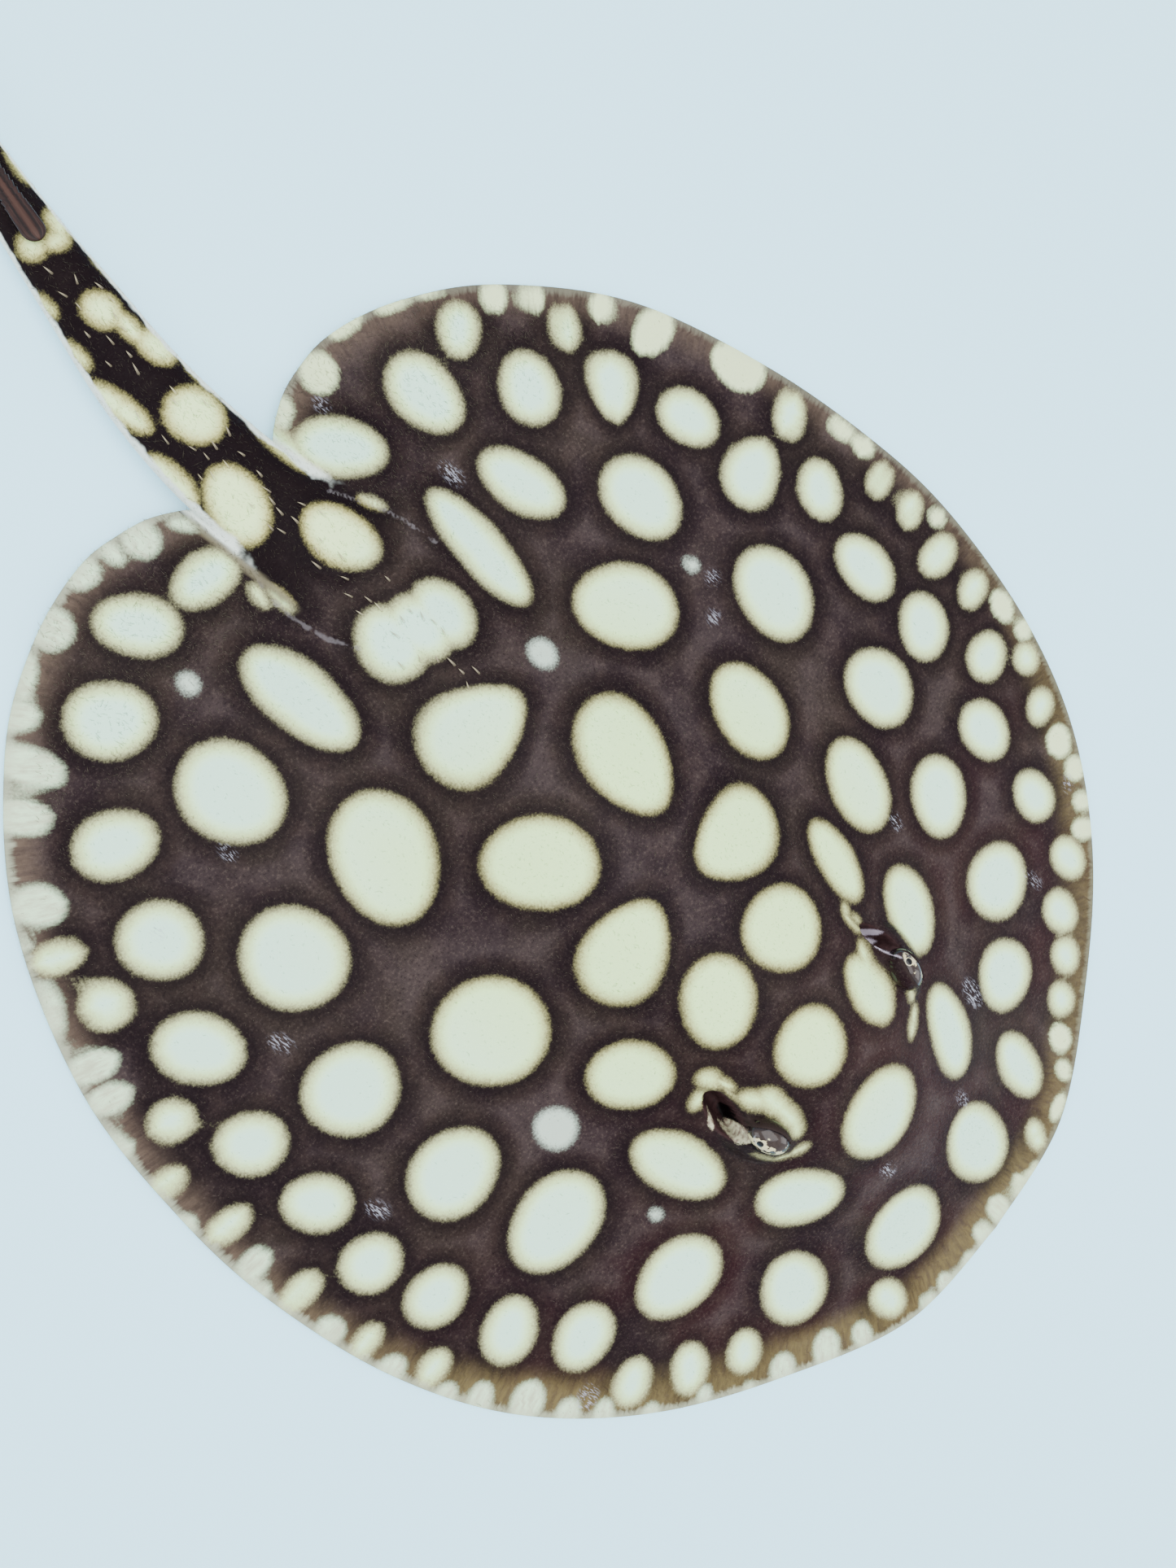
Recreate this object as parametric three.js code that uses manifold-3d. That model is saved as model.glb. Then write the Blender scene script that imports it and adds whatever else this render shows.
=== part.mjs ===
// A polka-dot freshwater stingray, life size, lying still on a floor with its tail laid out behind it.
// Millimetres. +Z is up, -Y is the way the snout points and +X is the animal's left.
// The origin is the middle of the flat of the belly, on the floor.
import * as THREE from "three";
import { mergeVertices } from "three/addons/utils/BufferGeometryUtils.js";
import Module from "manifold-3d";

const wasm = await Module();
wasm.setup();

// ---- driving sizes ----
const GAP = 0.3; // left between two pieces that touch
const EDGE = 1.3; // thickness of the fins at their rim
const FIN_RISE = 11.5; // how far the fins thicken from the rim to the middle
const TRUNK_RISE = 21; // height of the trunk over the fins
const BELLY = 0.46; // share of the way to the rim where the belly is flat on the floor
const BELLY_CLEAR = 0.9; // how far the fins' undersides stand off the floor
const TURN = 0.24; // how far each eye and spiracle turns, front end inwards
const EYE = { x: 36.5, y: -78, z: 29.2, long: 6.4, wide: 5.3, high: 5.2 }; // half sizes
const BROW = { x: 35.8, y: -77, z: 18.5, long: 15, wide: 11.5, high: 11.2 }; // the swelling round an eye
const SPIRACLE = { x: 40.3, y: -61.5, z: 20, long: 8, wide: 4.3, high: 9 }; // the breathing hole behind it
const STING = { start: 259, length: 64, width: 7.4, thick: 2.8 };
const PELVIC_THICK = 2.9;
const PARTING = { snout: -126, head: -43.4, tail: 127.6, middle: 200, rear: 262, tip: 340 }; // cuts at y

// Half of the disc's rim, from the snout round the animal's left to the notch over the tail.
const RIM = [
  [0, -187.5],
  [46, -182],
  [90, -156],
  [127, -125],
  [154, -88],
  [168, -46],
  [173.5, 0],
  [171, 40],
  [161, 86],
  [137, 133],
  [100, 171],
  [66, 188],
  [44, 190],
  [30, 182],
  [23, 166],
  [19, 150],
  [14, 138],
  [0, 135],
];

// The tail at stations down its length: middle x and y, half width, half height, height of its middle.
const TAIL = [
  [1, 84, 16, 6.5, 12],
  [2, 112, 17.5, 8, 13],
  [1.5, 142, 17.5, 7.9, 12],
  [-1, 167, 16.6, 7.5, 10],
  [-2, 192, 15.4, 6.9, 7.6],
  [-0.5, 216, 13.6, 6.2, 6.2],
  [4, 242, 11.2, 5.4, 5.4],
  [8.5, 266, 8.9, 4.7, 4.7],
  [16, 298, 6.6, 4.2, 4.2],
  [29, 334, 4.4, 3.8, 3.8],
  [48, 370, 2.7, 3.1, 3.1],
  [73, 402, 1.5, 2.1, 2.1],
  [88, 417, 0.7, 1.2, 1.2],
];

// One pelvic fin, seen from above: its outline on the animal's left.
const PELVIC = [
  [4, 117.3],
  [20.5, 117.3],
  [33, 134],
  [35, 155],
  [29, 175],
  [21, 186],
  [13, 181],
  [7, 160],
];

// ---- curves and steps ----
const clamp = (v, low, high) => Math.min(high, Math.max(low, v));
const ease = (from, to, v) => {
  const t = clamp((v - from) / (to - from), 0, 1);
  return t * t * (3 - 2 * t);
};
const bump = (v, reach) => Math.exp(-((v / reach) ** 2));

// A uniform Catmull-Rom curve through rows of numbers, at t rows from the first.
function through(rows, t) {
  const i = clamp(Math.floor(t), 0, rows.length - 2);
  const f = t - i;
  const [a, b, c, d] = [i - 1, i, i + 1, i + 2].map((k) => rows[clamp(k, 0, rows.length - 1)]);
  return b.map((v, k) => {
    const square = 2 * a[k] - 5 * v + 4 * c[k] - d[k];
    const cube = 3 * (v - c[k]) + d[k] - a[k];
    return v + 0.5 * f * (c[k] - a[k] + f * (square + f * cube));
  });
}

// ---- the disc: two sheets, each a function of place, that meet in a thin wall at the rim ----
const RIM_STEPS = 42; // round one side
const TOP_RINGS = 16;
const UNDER_RINGS = 7;
const MIDLINE = { reach: 94, widest: 6 / 17 }; // how far fore and aft it runs, and the widest rim's share

// A place on the disc: share runs round half the rim and out from the midline (0) to the rim (1).
// The lines from the midline to the sides of the notch bow outwards, so that none crosses another.
function discPlace(share, side, out) {
  const [rimX, rimY] = through(RIM, share * (RIM.length - 1));
  const quarter = Math.PI / 2;
  const behind = (share - MIDLINE.widest) / (1 - MIDLINE.widest);
  const middle =
    behind < 0
      ? -MIDLINE.reach * Math.cos((quarter * share) / MIDLINE.widest)
      : MIDLINE.reach * Math.sin(quarter * behind);
  const bow = 1 + 0.5 * ease(0.6, 0.8, share);
  return [side * Math.max(0, rimX) * (1 - (1 - out) ** bow), middle + (rimY - middle) * out];
}

// The trunk is a long mound, steep at the head and lower and narrower towards the tail.
function trunkRise(x, y) {
  const halfWidth = 43 + 12 * ease(-95, -25, y) - 31 * ease(5, 125, y);
  const lengthwise = ease(-165, -80, y) * (1 - 0.62 * ease(0, 140, y));
  return TRUNK_RISE * lengthwise * bump(x, halfWidth);
}

// The roof of the skull dips a little between the eyes.
function skullDip(x, y) {
  return -2.6 * bump(x, 15) * bump(y + 90, 30);
}

// The lobes at the back ride over the pelvic fins and ripple at the rim.
function rimLift(x, y, out) {
  const overPelvic = 3.7 * ease(104, 128, y) * Math.exp(-(((Math.abs(x) - 17) / 21) ** 4));
  const wave = 1.5 * (1 + Math.sin(0.075 * y + 0.11 * Math.abs(x)));
  return Math.max(overPelvic, wave * ease(95, 170, y) * ease(0.72, 1, out));
}

function underHeight(x, y, out) {
  const clear = BELLY_CLEAR * ease(BELLY, 0.7, out);
  return clear + (out > BELLY ? rimLift(x, y, out) : 0);
}

function topHeight(x, y, out) {
  const fin = EDGE + FIN_RISE * (1 - out ** 2) ** 1.15;
  const mound = (trunkRise(x, y) + skullDip(x, y)) * (1 - out ** 8);
  return Math.max(BELLY_CLEAR + rimLift(x, y, out) + fin + mound, tailTop(x, y));
}

// The root of the tail runs forward over the back as a ridge. Behind the trunk it is the tail's own piece.
function tailTop(x, y) {
  if (y < TAIL[0][1] || y > PARTING.tail + 3) return 0;
  const [middle, , half, high, z] = tailAt(y);
  return z + high * Math.sqrt(Math.max(0, 1 - ((x - middle) / half) ** 2));
}

// The tail's station at a given y, found by halving.
function tailAt(y) {
  let low = 0;
  let high = TAIL.length - 1;
  for (let i = 0; i < 30; i++) {
    const t = (low + high) / 2;
    if (through(TAIL, t)[1] < y) low = t;
    else high = t;
  }
  return through(TAIL, low);
}

// ---- solids ----
// Turns a geometry into a solid that manifold-3d can cut, and back.
function solid(geometry) {
  const plain = geometry.index ? geometry.toNonIndexed() : geometry.clone();
  plain.deleteAttribute("normal");
  plain.deleteAttribute("uv");
  const merged = mergeVertices(plain, 1e-3);
  return new wasm.Manifold(
    new wasm.Mesh({
      numProp: 3,
      vertProperties: merged.attributes.position.array,
      triVerts: new Uint32Array(merged.index.array),
    })
  );
}

function geometryOf(made) {
  const mesh = made.getMesh();
  return new THREE.BufferGeometry()
    .setAttribute("position", new THREE.BufferAttribute(mesh.vertProperties, 3))
    .setIndex(new THREE.BufferAttribute(mesh.triVerts, 1));
}

// A grid of rings of points, each ring closed, made into one closed surface with a point at each end.
function ringSolid(rings, first, last) {
  const count = rings[0].length;
  const places = [first, ...rings.flat(), last].flat();
  const at = (ring, k) => 1 + ring * count + (k % count);
  const end = 1 + rings.length * count;
  const faces = [];
  for (let k = 0; k < count; k++) {
    faces.push(0, at(0, k), at(0, k + 1));
    faces.push(end, at(rings.length - 1, k + 1), at(rings.length - 1, k));
    for (let ring = 0; ring < rings.length - 1; ring++) {
      faces.push(at(ring, k), at(ring + 1, k), at(ring, k + 1));
      faces.push(at(ring, k + 1), at(ring + 1, k), at(ring + 1, k + 1));
    }
  }
  const geometry = new THREE.BufferGeometry()
    .setAttribute("position", new THREE.Float32BufferAttribute(places, 3))
    .setIndex(faces);
  return solid(geometry);
}

// The disc's rings run from its middle line out over the top to the rim and back under the belly.
function discSolid() {
  const count = 2 * RIM_STEPS;
  const ring = (out, height) =>
    Array.from({ length: count }, (_, k) => {
      const step = k <= RIM_STEPS ? k : count - k;
      const [x, y] = discPlace(step / RIM_STEPS, k <= RIM_STEPS ? 1 : -1, out);
      return [x, y, height(x, y, out)];
    });
  const top = Array.from({ length: TOP_RINGS }, (_, k) => ring((k + 1) / TOP_RINGS, topHeight));
  const under = Array.from({ length: UNDER_RINGS }, (_, k) => ring(1 - k / UNDER_RINGS, underHeight));
  const topMiddle = ring(0, topHeight);
  const underMiddle = ring(0, underHeight);
  return stripSolid([topMiddle, ...top, ...under, underMiddle]);
}

// Rings whose first and last lie flat on a line: their two sides merge, so no end point is needed.
function stripSolid(rings) {
  const count = rings[0].length;
  const corners = [];
  for (let ring = 0; ring < rings.length - 1; ring++) {
    for (let k = 0; k < count; k++) {
      const next = (k + 1) % count;
      const [a, b, c, d] = [rings[ring][k], rings[ring][next], rings[ring + 1][k], rings[ring + 1][next]];
      corners.push(a, c, b, b, c, d);
    }
  }
  const faces = [];
  for (let i = 0; i < corners.length; i += 3) {
    const [a, b, c] = corners.slice(i, i + 3);
    const same = (p, q) => Math.hypot(p[0] - q[0], p[1] - q[1], p[2] - q[2]) < 1e-3;
    if (!same(a, b) && !same(b, c) && !same(c, a)) faces.push(a, b, c);
  }
  const geometry = new THREE.BufferGeometry().setAttribute(
    "position",
    new THREE.Float32BufferAttribute(faces.flat(), 3)
  );
  return solid(geometry);
}

// The tail's section is an ellipse, wider than it is high.
const TAIL_SIDES = 16;
const TAIL_STEPS = 40;
function tailSolid(grow = 0) {
  const rings = [];
  for (let step = 0; step <= TAIL_STEPS; step++) {
    const t = (step / TAIL_STEPS) * (TAIL.length - 1);
    const [x, y, half, high, resting] = through(TAIL, t);
    const z = Math.max(resting, high);
    const [x0, y0] = through(TAIL, Math.max(0, t - 0.1));
    const [x1, y1] = through(TAIL, Math.min(TAIL.length - 1, t + 0.1));
    const length = Math.hypot(x1 - x0, y1 - y0);
    const across = [(y1 - y0) / length, (x0 - x1) / length];
    rings.push(
      Array.from({ length: TAIL_SIDES }, (_, k) => {
        const angle = (2 * Math.PI * k) / TAIL_SIDES;
        const side = (half + grow) * Math.cos(angle);
        return [x + across[0] * side, y + across[1] * side, z + (high + grow) * Math.sin(angle)];
      })
    );
  }
  const middle = (ring) => [0, 1, 2].map((k) => ring.reduce((sum, p) => sum + p[k], 0) / ring.length);
  return ringSolid(rings, middle(rings[0]), middle(rings[rings.length - 1]));
}

// A flat-bottomed lobe, thinner round its outline.
function pelvicSolid(side, grow = 0) {
  const centre = [19, 148];
  const outline = Array.from({ length: 24 }, (_, k) => {
    const closed = [...PELVIC, ...PELVIC.slice(0, 3)];
    const [x, y] = through(closed, 1 + (k * PELVIC.length) / 24);
    const away = Math.hypot(x - centre[0], y - centre[1]);
    return [x + (grow * (x - centre[0])) / away, y + (grow * (y - centre[1])) / away];
  });
  const ring = (share, z) =>
    outline.map(([x, y]) => [
      side * (centre[0] + (x - centre[0]) * share),
      centre[1] + (y - centre[1]) * share,
      z,
    ]);
  const low = 0.15 - grow;
  const high = PELVIC_THICK + grow;
  const rings = [ring(0.9, low), ring(1, low + 0.4), ring(1, high - 1.2), ring(0.8, high)];
  const ordered = side > 0 ? rings.map((r) => [...r].reverse()) : rings;
  return ringSolid(
    ordered,
    [side * centre[0], centre[1], low],
    [side * centre[0], centre[1], high]
  );
}

// An egg-shaped solid of given half sizes, turned so that its front points a little inwards.
function eggSolid(side, { x, y, z, wide, long, high }, sides = 16, grow = 0) {
  const egg = new THREE.SphereGeometry(1, sides, sides * 0.6);
  egg.scale(wide + grow, long + grow, high + grow);
  egg.rotateZ(side * TURN);
  egg.translate(side * x, y, z);
  return solid(egg);
}
function bothSides(shape, sides, grow) {
  return eggSolid(1, shape, sides, grow).add(eggSolid(-1, shape, sides, grow));
}

// The sting is a flat tapering blade that lies along the top of the tail, rising a little off it.
function stingSolid() {
  const rings = [];
  const steps = 14;
  for (let step = 0; step <= steps; step++) {
    const share = step / steps;
    const y = STING.start + STING.length * share;
    const [x, , , high, z] = tailAt(y);
    const wide = (STING.width / 2) * Math.sqrt(1.02 - share) * ease(-0.12, 0.1, share);
    const thick = (STING.thick / 2) * (1 - 0.7 * share) * ease(-0.15, 0.1, share);
    const middle = z + high + GAP + STING.thick / 2 + 1.5 * share;
    const points = Array.from({ length: 10 }, (_, k) => {
      const angle = (2 * Math.PI * k) / 10;
      return [x + wide * Math.cos(angle), y, middle + thick * Math.sin(angle)];
    });
    rings.push(points);
  }
  const middle = (ring) => [0, 1, 2].map((k) => ring.reduce((sum, p) => sum + p[k], 0) / ring.length);
  return ringSolid(rings, middle(rings[0]), middle(rings[steps]));
}

// ---- cutters ----
// The line where each fin leaves the head and trunk: half width at each y.
const ROOT_LINE = [
  [30, -230],
  [44, -130],
  [52, -70],
  [52, 0],
  [43, 60],
  [31, 100],
  [26, 132],
];

function prism(points, low = -20, high = 80) {
  const shape = new THREE.Shape(points.map(([x, y]) => new THREE.Vector2(x, y)));
  const geometry = new THREE.ExtrudeGeometry(shape, { depth: high - low, bevelEnabled: false });
  geometry.translate(0, 0, low);
  return solid(geometry);
}

function middlePrism(grow = 0) {
  const left = ROOT_LINE.map(([x, y]) => [x + grow, y + (y > 120 ? grow : 0)]);
  const right = [...left].reverse().map(([x, y]) => [-x, y]);
  return prism([...left, ...right]);
}

const box = (left, right, from = -400, to = 600) =>
  prism([
    [left, from],
    [right, from],
    [right, to],
    [left, to],
  ]);
const slab = (from, to) => box(-400, 400, from, to);

// ---- the animal ----
const disc = discSolid();
const tail = tailSolid();
const tailRoom = tailSolid(GAP + 0.15);
const pelvicRoom = pelvicSolid(1, GAP + 0.1).add(pelvicSolid(-1, GAP + 0.1));
const eyeRoom = bothSides(EYE, 16, GAP);

const middle = disc.intersect(middlePrism());
const fins = disc.subtract(middlePrism(GAP)).subtract(tailRoom).subtract(pelvicRoom);
const half = GAP / 2;

const pieces = {
  snout: middle.intersect(slab(-400, PARTING.snout - half)),
  head: middle
    .intersect(slab(PARTING.snout + half, PARTING.head - half))
    .add(bothSides(BROW, 20))
    .subtract(bothSides(SPIRACLE, 14))
    .subtract(eyeRoom),
  trunk: middle.intersect(slab(PARTING.head + half, PARTING.tail - half)).subtract(pelvicRoom),
  pectoral_fin_left: fins.intersect(box(half, 400)),
  pectoral_fin_right: fins.intersect(box(-400, -half)),
  pelvic_fin_left: pelvicSolid(1),
  pelvic_fin_right: pelvicSolid(-1),
  tail_base: tail.intersect(slab(PARTING.tail + half, PARTING.middle - half)),
  tail_middle: tail.intersect(slab(PARTING.middle + half, PARTING.rear - half)),
  tail_rear: tail.intersect(slab(PARTING.rear + half, PARTING.tip - half)),
  tail_tip: tail.intersect(slab(PARTING.tip + half, 500)),
  sting: stingSolid(),
  eye_left: eggSolid(1, EYE),
  eye_right: eggSolid(-1, EYE),
};

const SKIN = new THREE.MeshStandardMaterial({ color: 0x3a3030, roughness: 0.45, metalness: 0 });
const TAIL_SKIN = new THREE.MeshStandardMaterial({ color: 0x2a2426, roughness: 0.5, metalness: 0 });
const STING_HORN = new THREE.MeshStandardMaterial({ color: 0x6b4f4c, roughness: 0.5, metalness: 0 });
const EYEBALL = new THREE.MeshStandardMaterial({ color: 0x241f1c, roughness: 0.15, metalness: 0 });
const materialOf = (name) => {
  if (name.startsWith("eye")) return EYEBALL;
  if (name === "sting") return STING_HORN;
  return name.startsWith("tail") ? TAIL_SKIN : SKIN;
};

const stingray = new THREE.Group();
for (const [name, made] of Object.entries(pieces)) {
  const mesh = new THREE.Mesh(geometryOf(made), materialOf(name));
  mesh.name = name;
  stingray.add(mesh);
}

export default stingray;
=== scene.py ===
# %% [markdown]
# # A polka-dot freshwater stingray, life size
# The ray lies flat on a floor with its tail laid out behind it. The model's frame has +Z up, the snout
# towards -Y, the tail towards +Y and the animal's left towards +X, with the origin under the belly.
# The solid pieces come in first, as a fixed frame. Everything here is built round them, and one skin
# takes the place of all the pieces of flesh, so that no joint between two of them shows.

import bmesh
import bpy
import numpy as np
from mathutils import Matrix, Vector


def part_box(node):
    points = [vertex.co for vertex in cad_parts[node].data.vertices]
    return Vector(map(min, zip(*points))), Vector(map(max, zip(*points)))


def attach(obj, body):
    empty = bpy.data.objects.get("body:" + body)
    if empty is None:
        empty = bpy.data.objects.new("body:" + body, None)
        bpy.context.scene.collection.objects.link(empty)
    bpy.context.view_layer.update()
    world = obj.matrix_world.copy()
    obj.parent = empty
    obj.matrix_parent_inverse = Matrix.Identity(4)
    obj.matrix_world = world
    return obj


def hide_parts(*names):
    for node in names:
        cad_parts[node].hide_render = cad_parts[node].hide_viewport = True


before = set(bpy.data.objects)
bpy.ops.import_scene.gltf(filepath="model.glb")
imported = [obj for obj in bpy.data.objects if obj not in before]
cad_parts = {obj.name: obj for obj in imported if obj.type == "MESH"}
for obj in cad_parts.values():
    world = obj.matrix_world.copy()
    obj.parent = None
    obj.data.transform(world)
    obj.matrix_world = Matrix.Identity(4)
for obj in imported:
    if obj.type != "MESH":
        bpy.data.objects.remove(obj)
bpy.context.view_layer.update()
MM = 0.001  # shapes are worked out in millimetres and become metres on the way into a mesh
print("pieces of the frame:", sorted(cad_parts))

# %% [markdown]
# ## Camera, floor and light
# The camera hangs over the back and leans a little, as a person's hands would hold it over a tub. Its three
# directions are written as rows of a turn, which is exact and needs no helper object to aim at.
# The floor is one plain pale sheet, and the light comes from large soft panels, because a wet dark skin
# shows every small lamp as a hard white dot.

# %% Camera
scene = bpy.context.scene
camera = bpy.data.objects.new("camera", bpy.data.cameras.new("camera"))
scene.collection.objects.link(camera)
camera.data.lens = 27.09
camera.data.sensor_width = 36
camera.data.clip_start = 0.01
right = Vector((0.6624, -0.6899, 0.2920)).normalized()
back = Vector((-0.1907, 0.2217, 0.9563)).normalized()
up = back.cross(right).normalized()
aimed = Matrix((right, up, back)).transposed().to_4x4()
camera.matrix_world = Matrix.Translation((-0.0642, 0.1227, 0.3719)) @ aimed
scene.camera = camera


# %% Small helpers for materials
def material(name):
    """A new node material, and its shader."""
    made = bpy.data.materials.new(name)
    made.use_nodes = True
    shader = made.node_tree.nodes["Principled BSDF"]
    return made, shader


def srgb(r, g, b):
    """A colour given as 0 to 255 on a screen, in the linear light that the shaders work in."""
    c = np.array([r, g, b]) / 255
    linear = np.where(c <= 0.04045, c / 12.92, ((c + 0.055) / 1.055) ** 2.4)
    return (*linear.tolist(), 1.0)


# %% Floor and lights
def soft_panel(name, place, aim, size, power):
    """A square area light at a place, turned to face a point."""
    lamp = bpy.data.lights.new(name, "AREA")
    lamp.shape = "SQUARE"
    lamp.size = size
    lamp.energy = power
    panel = bpy.data.objects.new(name, lamp)
    scene.collection.objects.link(panel)
    panel.location = place
    panel.rotation_euler = (Vector(aim) - Vector(place)).to_track_quat("-Z", "Y").to_euler()
    return panel


floor_mesh = bpy.data.meshes.new("floor")
REACH = 6.0
corners = [(-REACH, -REACH, 0), (REACH, -REACH, 0), (REACH, REACH, 0), (-REACH, REACH, 0)]
floor_mesh.from_pydata(corners, [], [(0, 1, 2, 3)])
floor = bpy.data.objects.new("floor", floor_mesh)
scene.collection.objects.link(floor)
FLOOR_BLUE = srgb(182, 236, 255)
floor_look, floor_shader = material("pale floor")
floor_shader.inputs["Base Color"].default_value = FLOOR_BLUE
floor_shader.inputs["Roughness"].default_value = 0.55
floor_shader.inputs["Emission Color"].default_value = (0.78, 0.95, 1.0, 1.0)
floor_shader.inputs["Emission Strength"].default_value = 0.12
floor_mesh.materials.append(floor_look)

soft_panel("overhead panel", (0.1, 0.0, 1.5), (0, 0.05, 0), 1.6, 40)
soft_panel("side panel", (-1.3, 0.9, 0.9), (0, 0.05, 0), 0.9, 12)
soft_panel("front panel", (0.7, -1.3, 0.8), (0, 0, 0), 0.8, 9)
world = bpy.data.worlds.new("studio")
world.use_nodes = True
world.node_tree.nodes["Background"].inputs["Color"].default_value = (0.86, 0.92, 1.0, 1.0)
world.node_tree.nodes["Background"].inputs["Strength"].default_value = 1.6
scene.world = world

# %% [markdown]
# ## The disc
# A ray's body is a flat disc: the head and trunk are a low mound in the middle, and the pectoral fins run
# all the way round it. It could be sculpted or subdivided from a cage, but it has to stay near the solid
# pieces. So it is made in the same way as they are: a smooth curve through a few points of the rim, and a
# height for every place inside it.


# %% Curves and steps
def ease(start, end, v):
    """A smooth step: 0 up to start, 1 from end on, with no corner at either."""
    t = np.clip((v - start) / (end - start), 0, 1)
    return t * t * (3 - 2 * t)


def bump(v, reach):
    """A bell of height 1 that has mostly gone by v = reach."""
    return np.exp(-((v / reach) ** 2))


def through(rows, t):
    """A smooth curve through rows of numbers (Catmull-Rom), at t rows from the first."""
    rows = np.asarray(rows, float)
    t = np.asarray(t, float)
    i = np.clip(np.floor(t).astype(int), 0, len(rows) - 2)
    f = (t - i)[..., None]
    a, b, c, d = (rows[np.clip(i + k, 0, len(rows) - 1)] for k in (-1, 0, 1, 2))
    square = 2 * a - 5 * b + 4 * c - d
    cube = 3 * (b - c) + d - a
    return b + 0.5 * f * (c - a + f * (square + f * cube))


def soft_max(a, b, k):
    """The larger of two, rounded off over a width of about k where they cross."""
    h = np.clip(0.5 + 0.5 * (a - b) / k, 0, 1)
    return b + (a - b) * h + k * h * (1 - h)


# %% The rim and the places inside it
RIM = [
    (0, -190), (46, -184.5), (90, -157.5), (127, -126), (154, -88), (168.5, -46),
    (173.5, 0), (171, 40), (161, 86), (137, 133), (104, 168), (77, 184),
    (50, 191), (32, 189), (20, 183.5), (12, 177), (5, 169), (0, 166),
]  # fmt: skip
MIDLINE_REACH = 94
WIDEST = 6 / 17  # how far round half the rim its widest point is


def disc_place(share, side, out):
    """x and y on the disc. share runs round half the rim from the snout (0) to the notch over the tail (1),
    and out runs from the midline (0) to the rim (1) along a line that bows a little beside the notch."""
    rim = through(RIM, share * (len(RIM) - 1))
    quarter = np.pi / 2
    ahead = -MIDLINE_REACH * np.cos(quarter * share / WIDEST)
    behind = MIDLINE_REACH * np.sin(quarter * (share - WIDEST) / (1 - WIDEST))
    middle = np.where(share < WIDEST, ahead, behind)
    bow = 1 + 0.5 * ease(0.6, 0.8, share)
    widest_x = np.maximum(0, rim[..., 0] - 3.6 * (side > 0) * bump(rim[..., 1] - 86, 45))
    x = side * widest_x * (1 - (1 - out) ** bow)
    return x, middle + (rim[..., 1] - middle) * out


# %% The tail's route
TAIL = [  # middle x and y, half width, half height, height of the middle
    (1, 84, 16, 6.5, 12), (2, 112, 17.5, 8, 13), (1.5, 142, 17.5, 7.9, 12), (-1, 167, 16.6, 7.5, 10),
    (-2, 192, 15.4, 6.9, 7.6), (-0.5, 216, 13.6, 6.2, 6.2), (4, 242, 11.2, 5.4, 5.4),
    (8.5, 266, 8.9, 4.7, 4.7), (16, 298, 6.6, 4.2, 4.2), (29, 334, 4.4, 3.8, 3.8),
    (48, 370, 2.7, 3.1, 3.1), (73, 402, 1.5, 2.1, 2.1), (88, 417, 0.7, 1.2, 1.2),
]  # fmt: skip
TAIL_TABLE = through(TAIL, np.linspace(0, len(TAIL) - 1, 600))


def tail_at(y):
    """Middle x, half width, half height and height of the tail where it crosses a given y."""
    return [np.interp(y, TAIL_TABLE[:, 1], TAIL_TABLE[:, k]) for k in (0, 2, 3, 4)]


# %% Heights of the disc
EDGE, FIN_RISE, TRUNK_RISE, BELLY, BELLY_CLEAR = 1.3, 11.5, 21, 0.46, 0.9
SKIN_DEPTH = 0.25  # the back is made this much lower than its formula, to leave room for the thorns
TURN = 0.24  # how far each eye and spiracle turns, front end inwards
eye_low, eye_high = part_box("eye_left")
EYE_X, EYE_Y, EYE_Z = ((eye_low + eye_high) / 2 / MM)[:]
print(f"the left eye is at {EYE_X:.1f}, {EYE_Y:.1f}, {EYE_Z:.1f} mm")


def about(x, y, at):
    """How far a place is from a point on its own side of the head, along and across the eye's length."""
    dx, dy = np.abs(x) - at[0], y - at[1]
    return dy * np.cos(TURN) + dx * np.sin(TURN), dx * np.cos(TURN) - dy * np.sin(TURN)


def rim_lift(x, y, out):
    """How far the disc stands off the floor over the pelvic fins and along its waved hind edge."""
    over_pelvic = 3.7 * ease(104, 128, y) * np.exp(-(((np.abs(x) - 17) / 21) ** 4))
    wave = 1.5 * (1 + np.sin(0.075 * y + 0.11 * np.abs(x))) * ease(95, 170, y) * ease(0.72, 1, out)
    return np.maximum(over_pelvic, wave)


def trunk_mound(x, y):
    """A long mound: steep at the head, lower and narrower behind, with a dip in the skull's roof."""
    half_width = 43 + 12 * ease(-95, -25, y) - 31 * ease(5, 125, y)
    lengthwise = ease(-165, -80, y) * (1 - 0.62 * ease(0, 140, y))
    return TRUNK_RISE * lengthwise * bump(x, half_width) - 2.6 * bump(x, 15) * bump(y + 90, 30)


def tail_ridge(x, y):
    """The top of the tail's root, where it runs forward over the back."""
    middle, half, high, z = tail_at(y)
    off = np.abs(x - middle) / half
    ridge = z + high * np.sqrt(np.clip(1 - off**2, 0, 1))
    return np.where((y > 84) & (y < 136), ridge * ease(1.5, 0.86, off), 0)


def top_height(x, y, out):
    """Height of the back: the fin's arch and the trunk's mound added, then joined to the tail's ridge."""
    fin = EDGE + FIN_RISE * np.maximum(1 - out**2, 0) ** 1.15
    height = BELLY_CLEAR + rim_lift(x, y, out) + fin + trunk_mound(x, y) * (1 - out**8)
    return np.maximum(soft_max(height, tail_ridge(x, y), 3) - SKIN_DEPTH * (1 - out**8), 0.2)


def under_height(x, y, out):
    """Height of the underside: on the floor in the middle, a little clear of it farther out."""
    clear = BELLY_CLEAR * ease(BELLY, 0.7, out)
    return clear + np.where(out > BELLY, rim_lift(x, y, out), 0)


print("height over the belly:", round(float(top_height(0.0, -20.0, 0.0)), 1), "mm")

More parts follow.
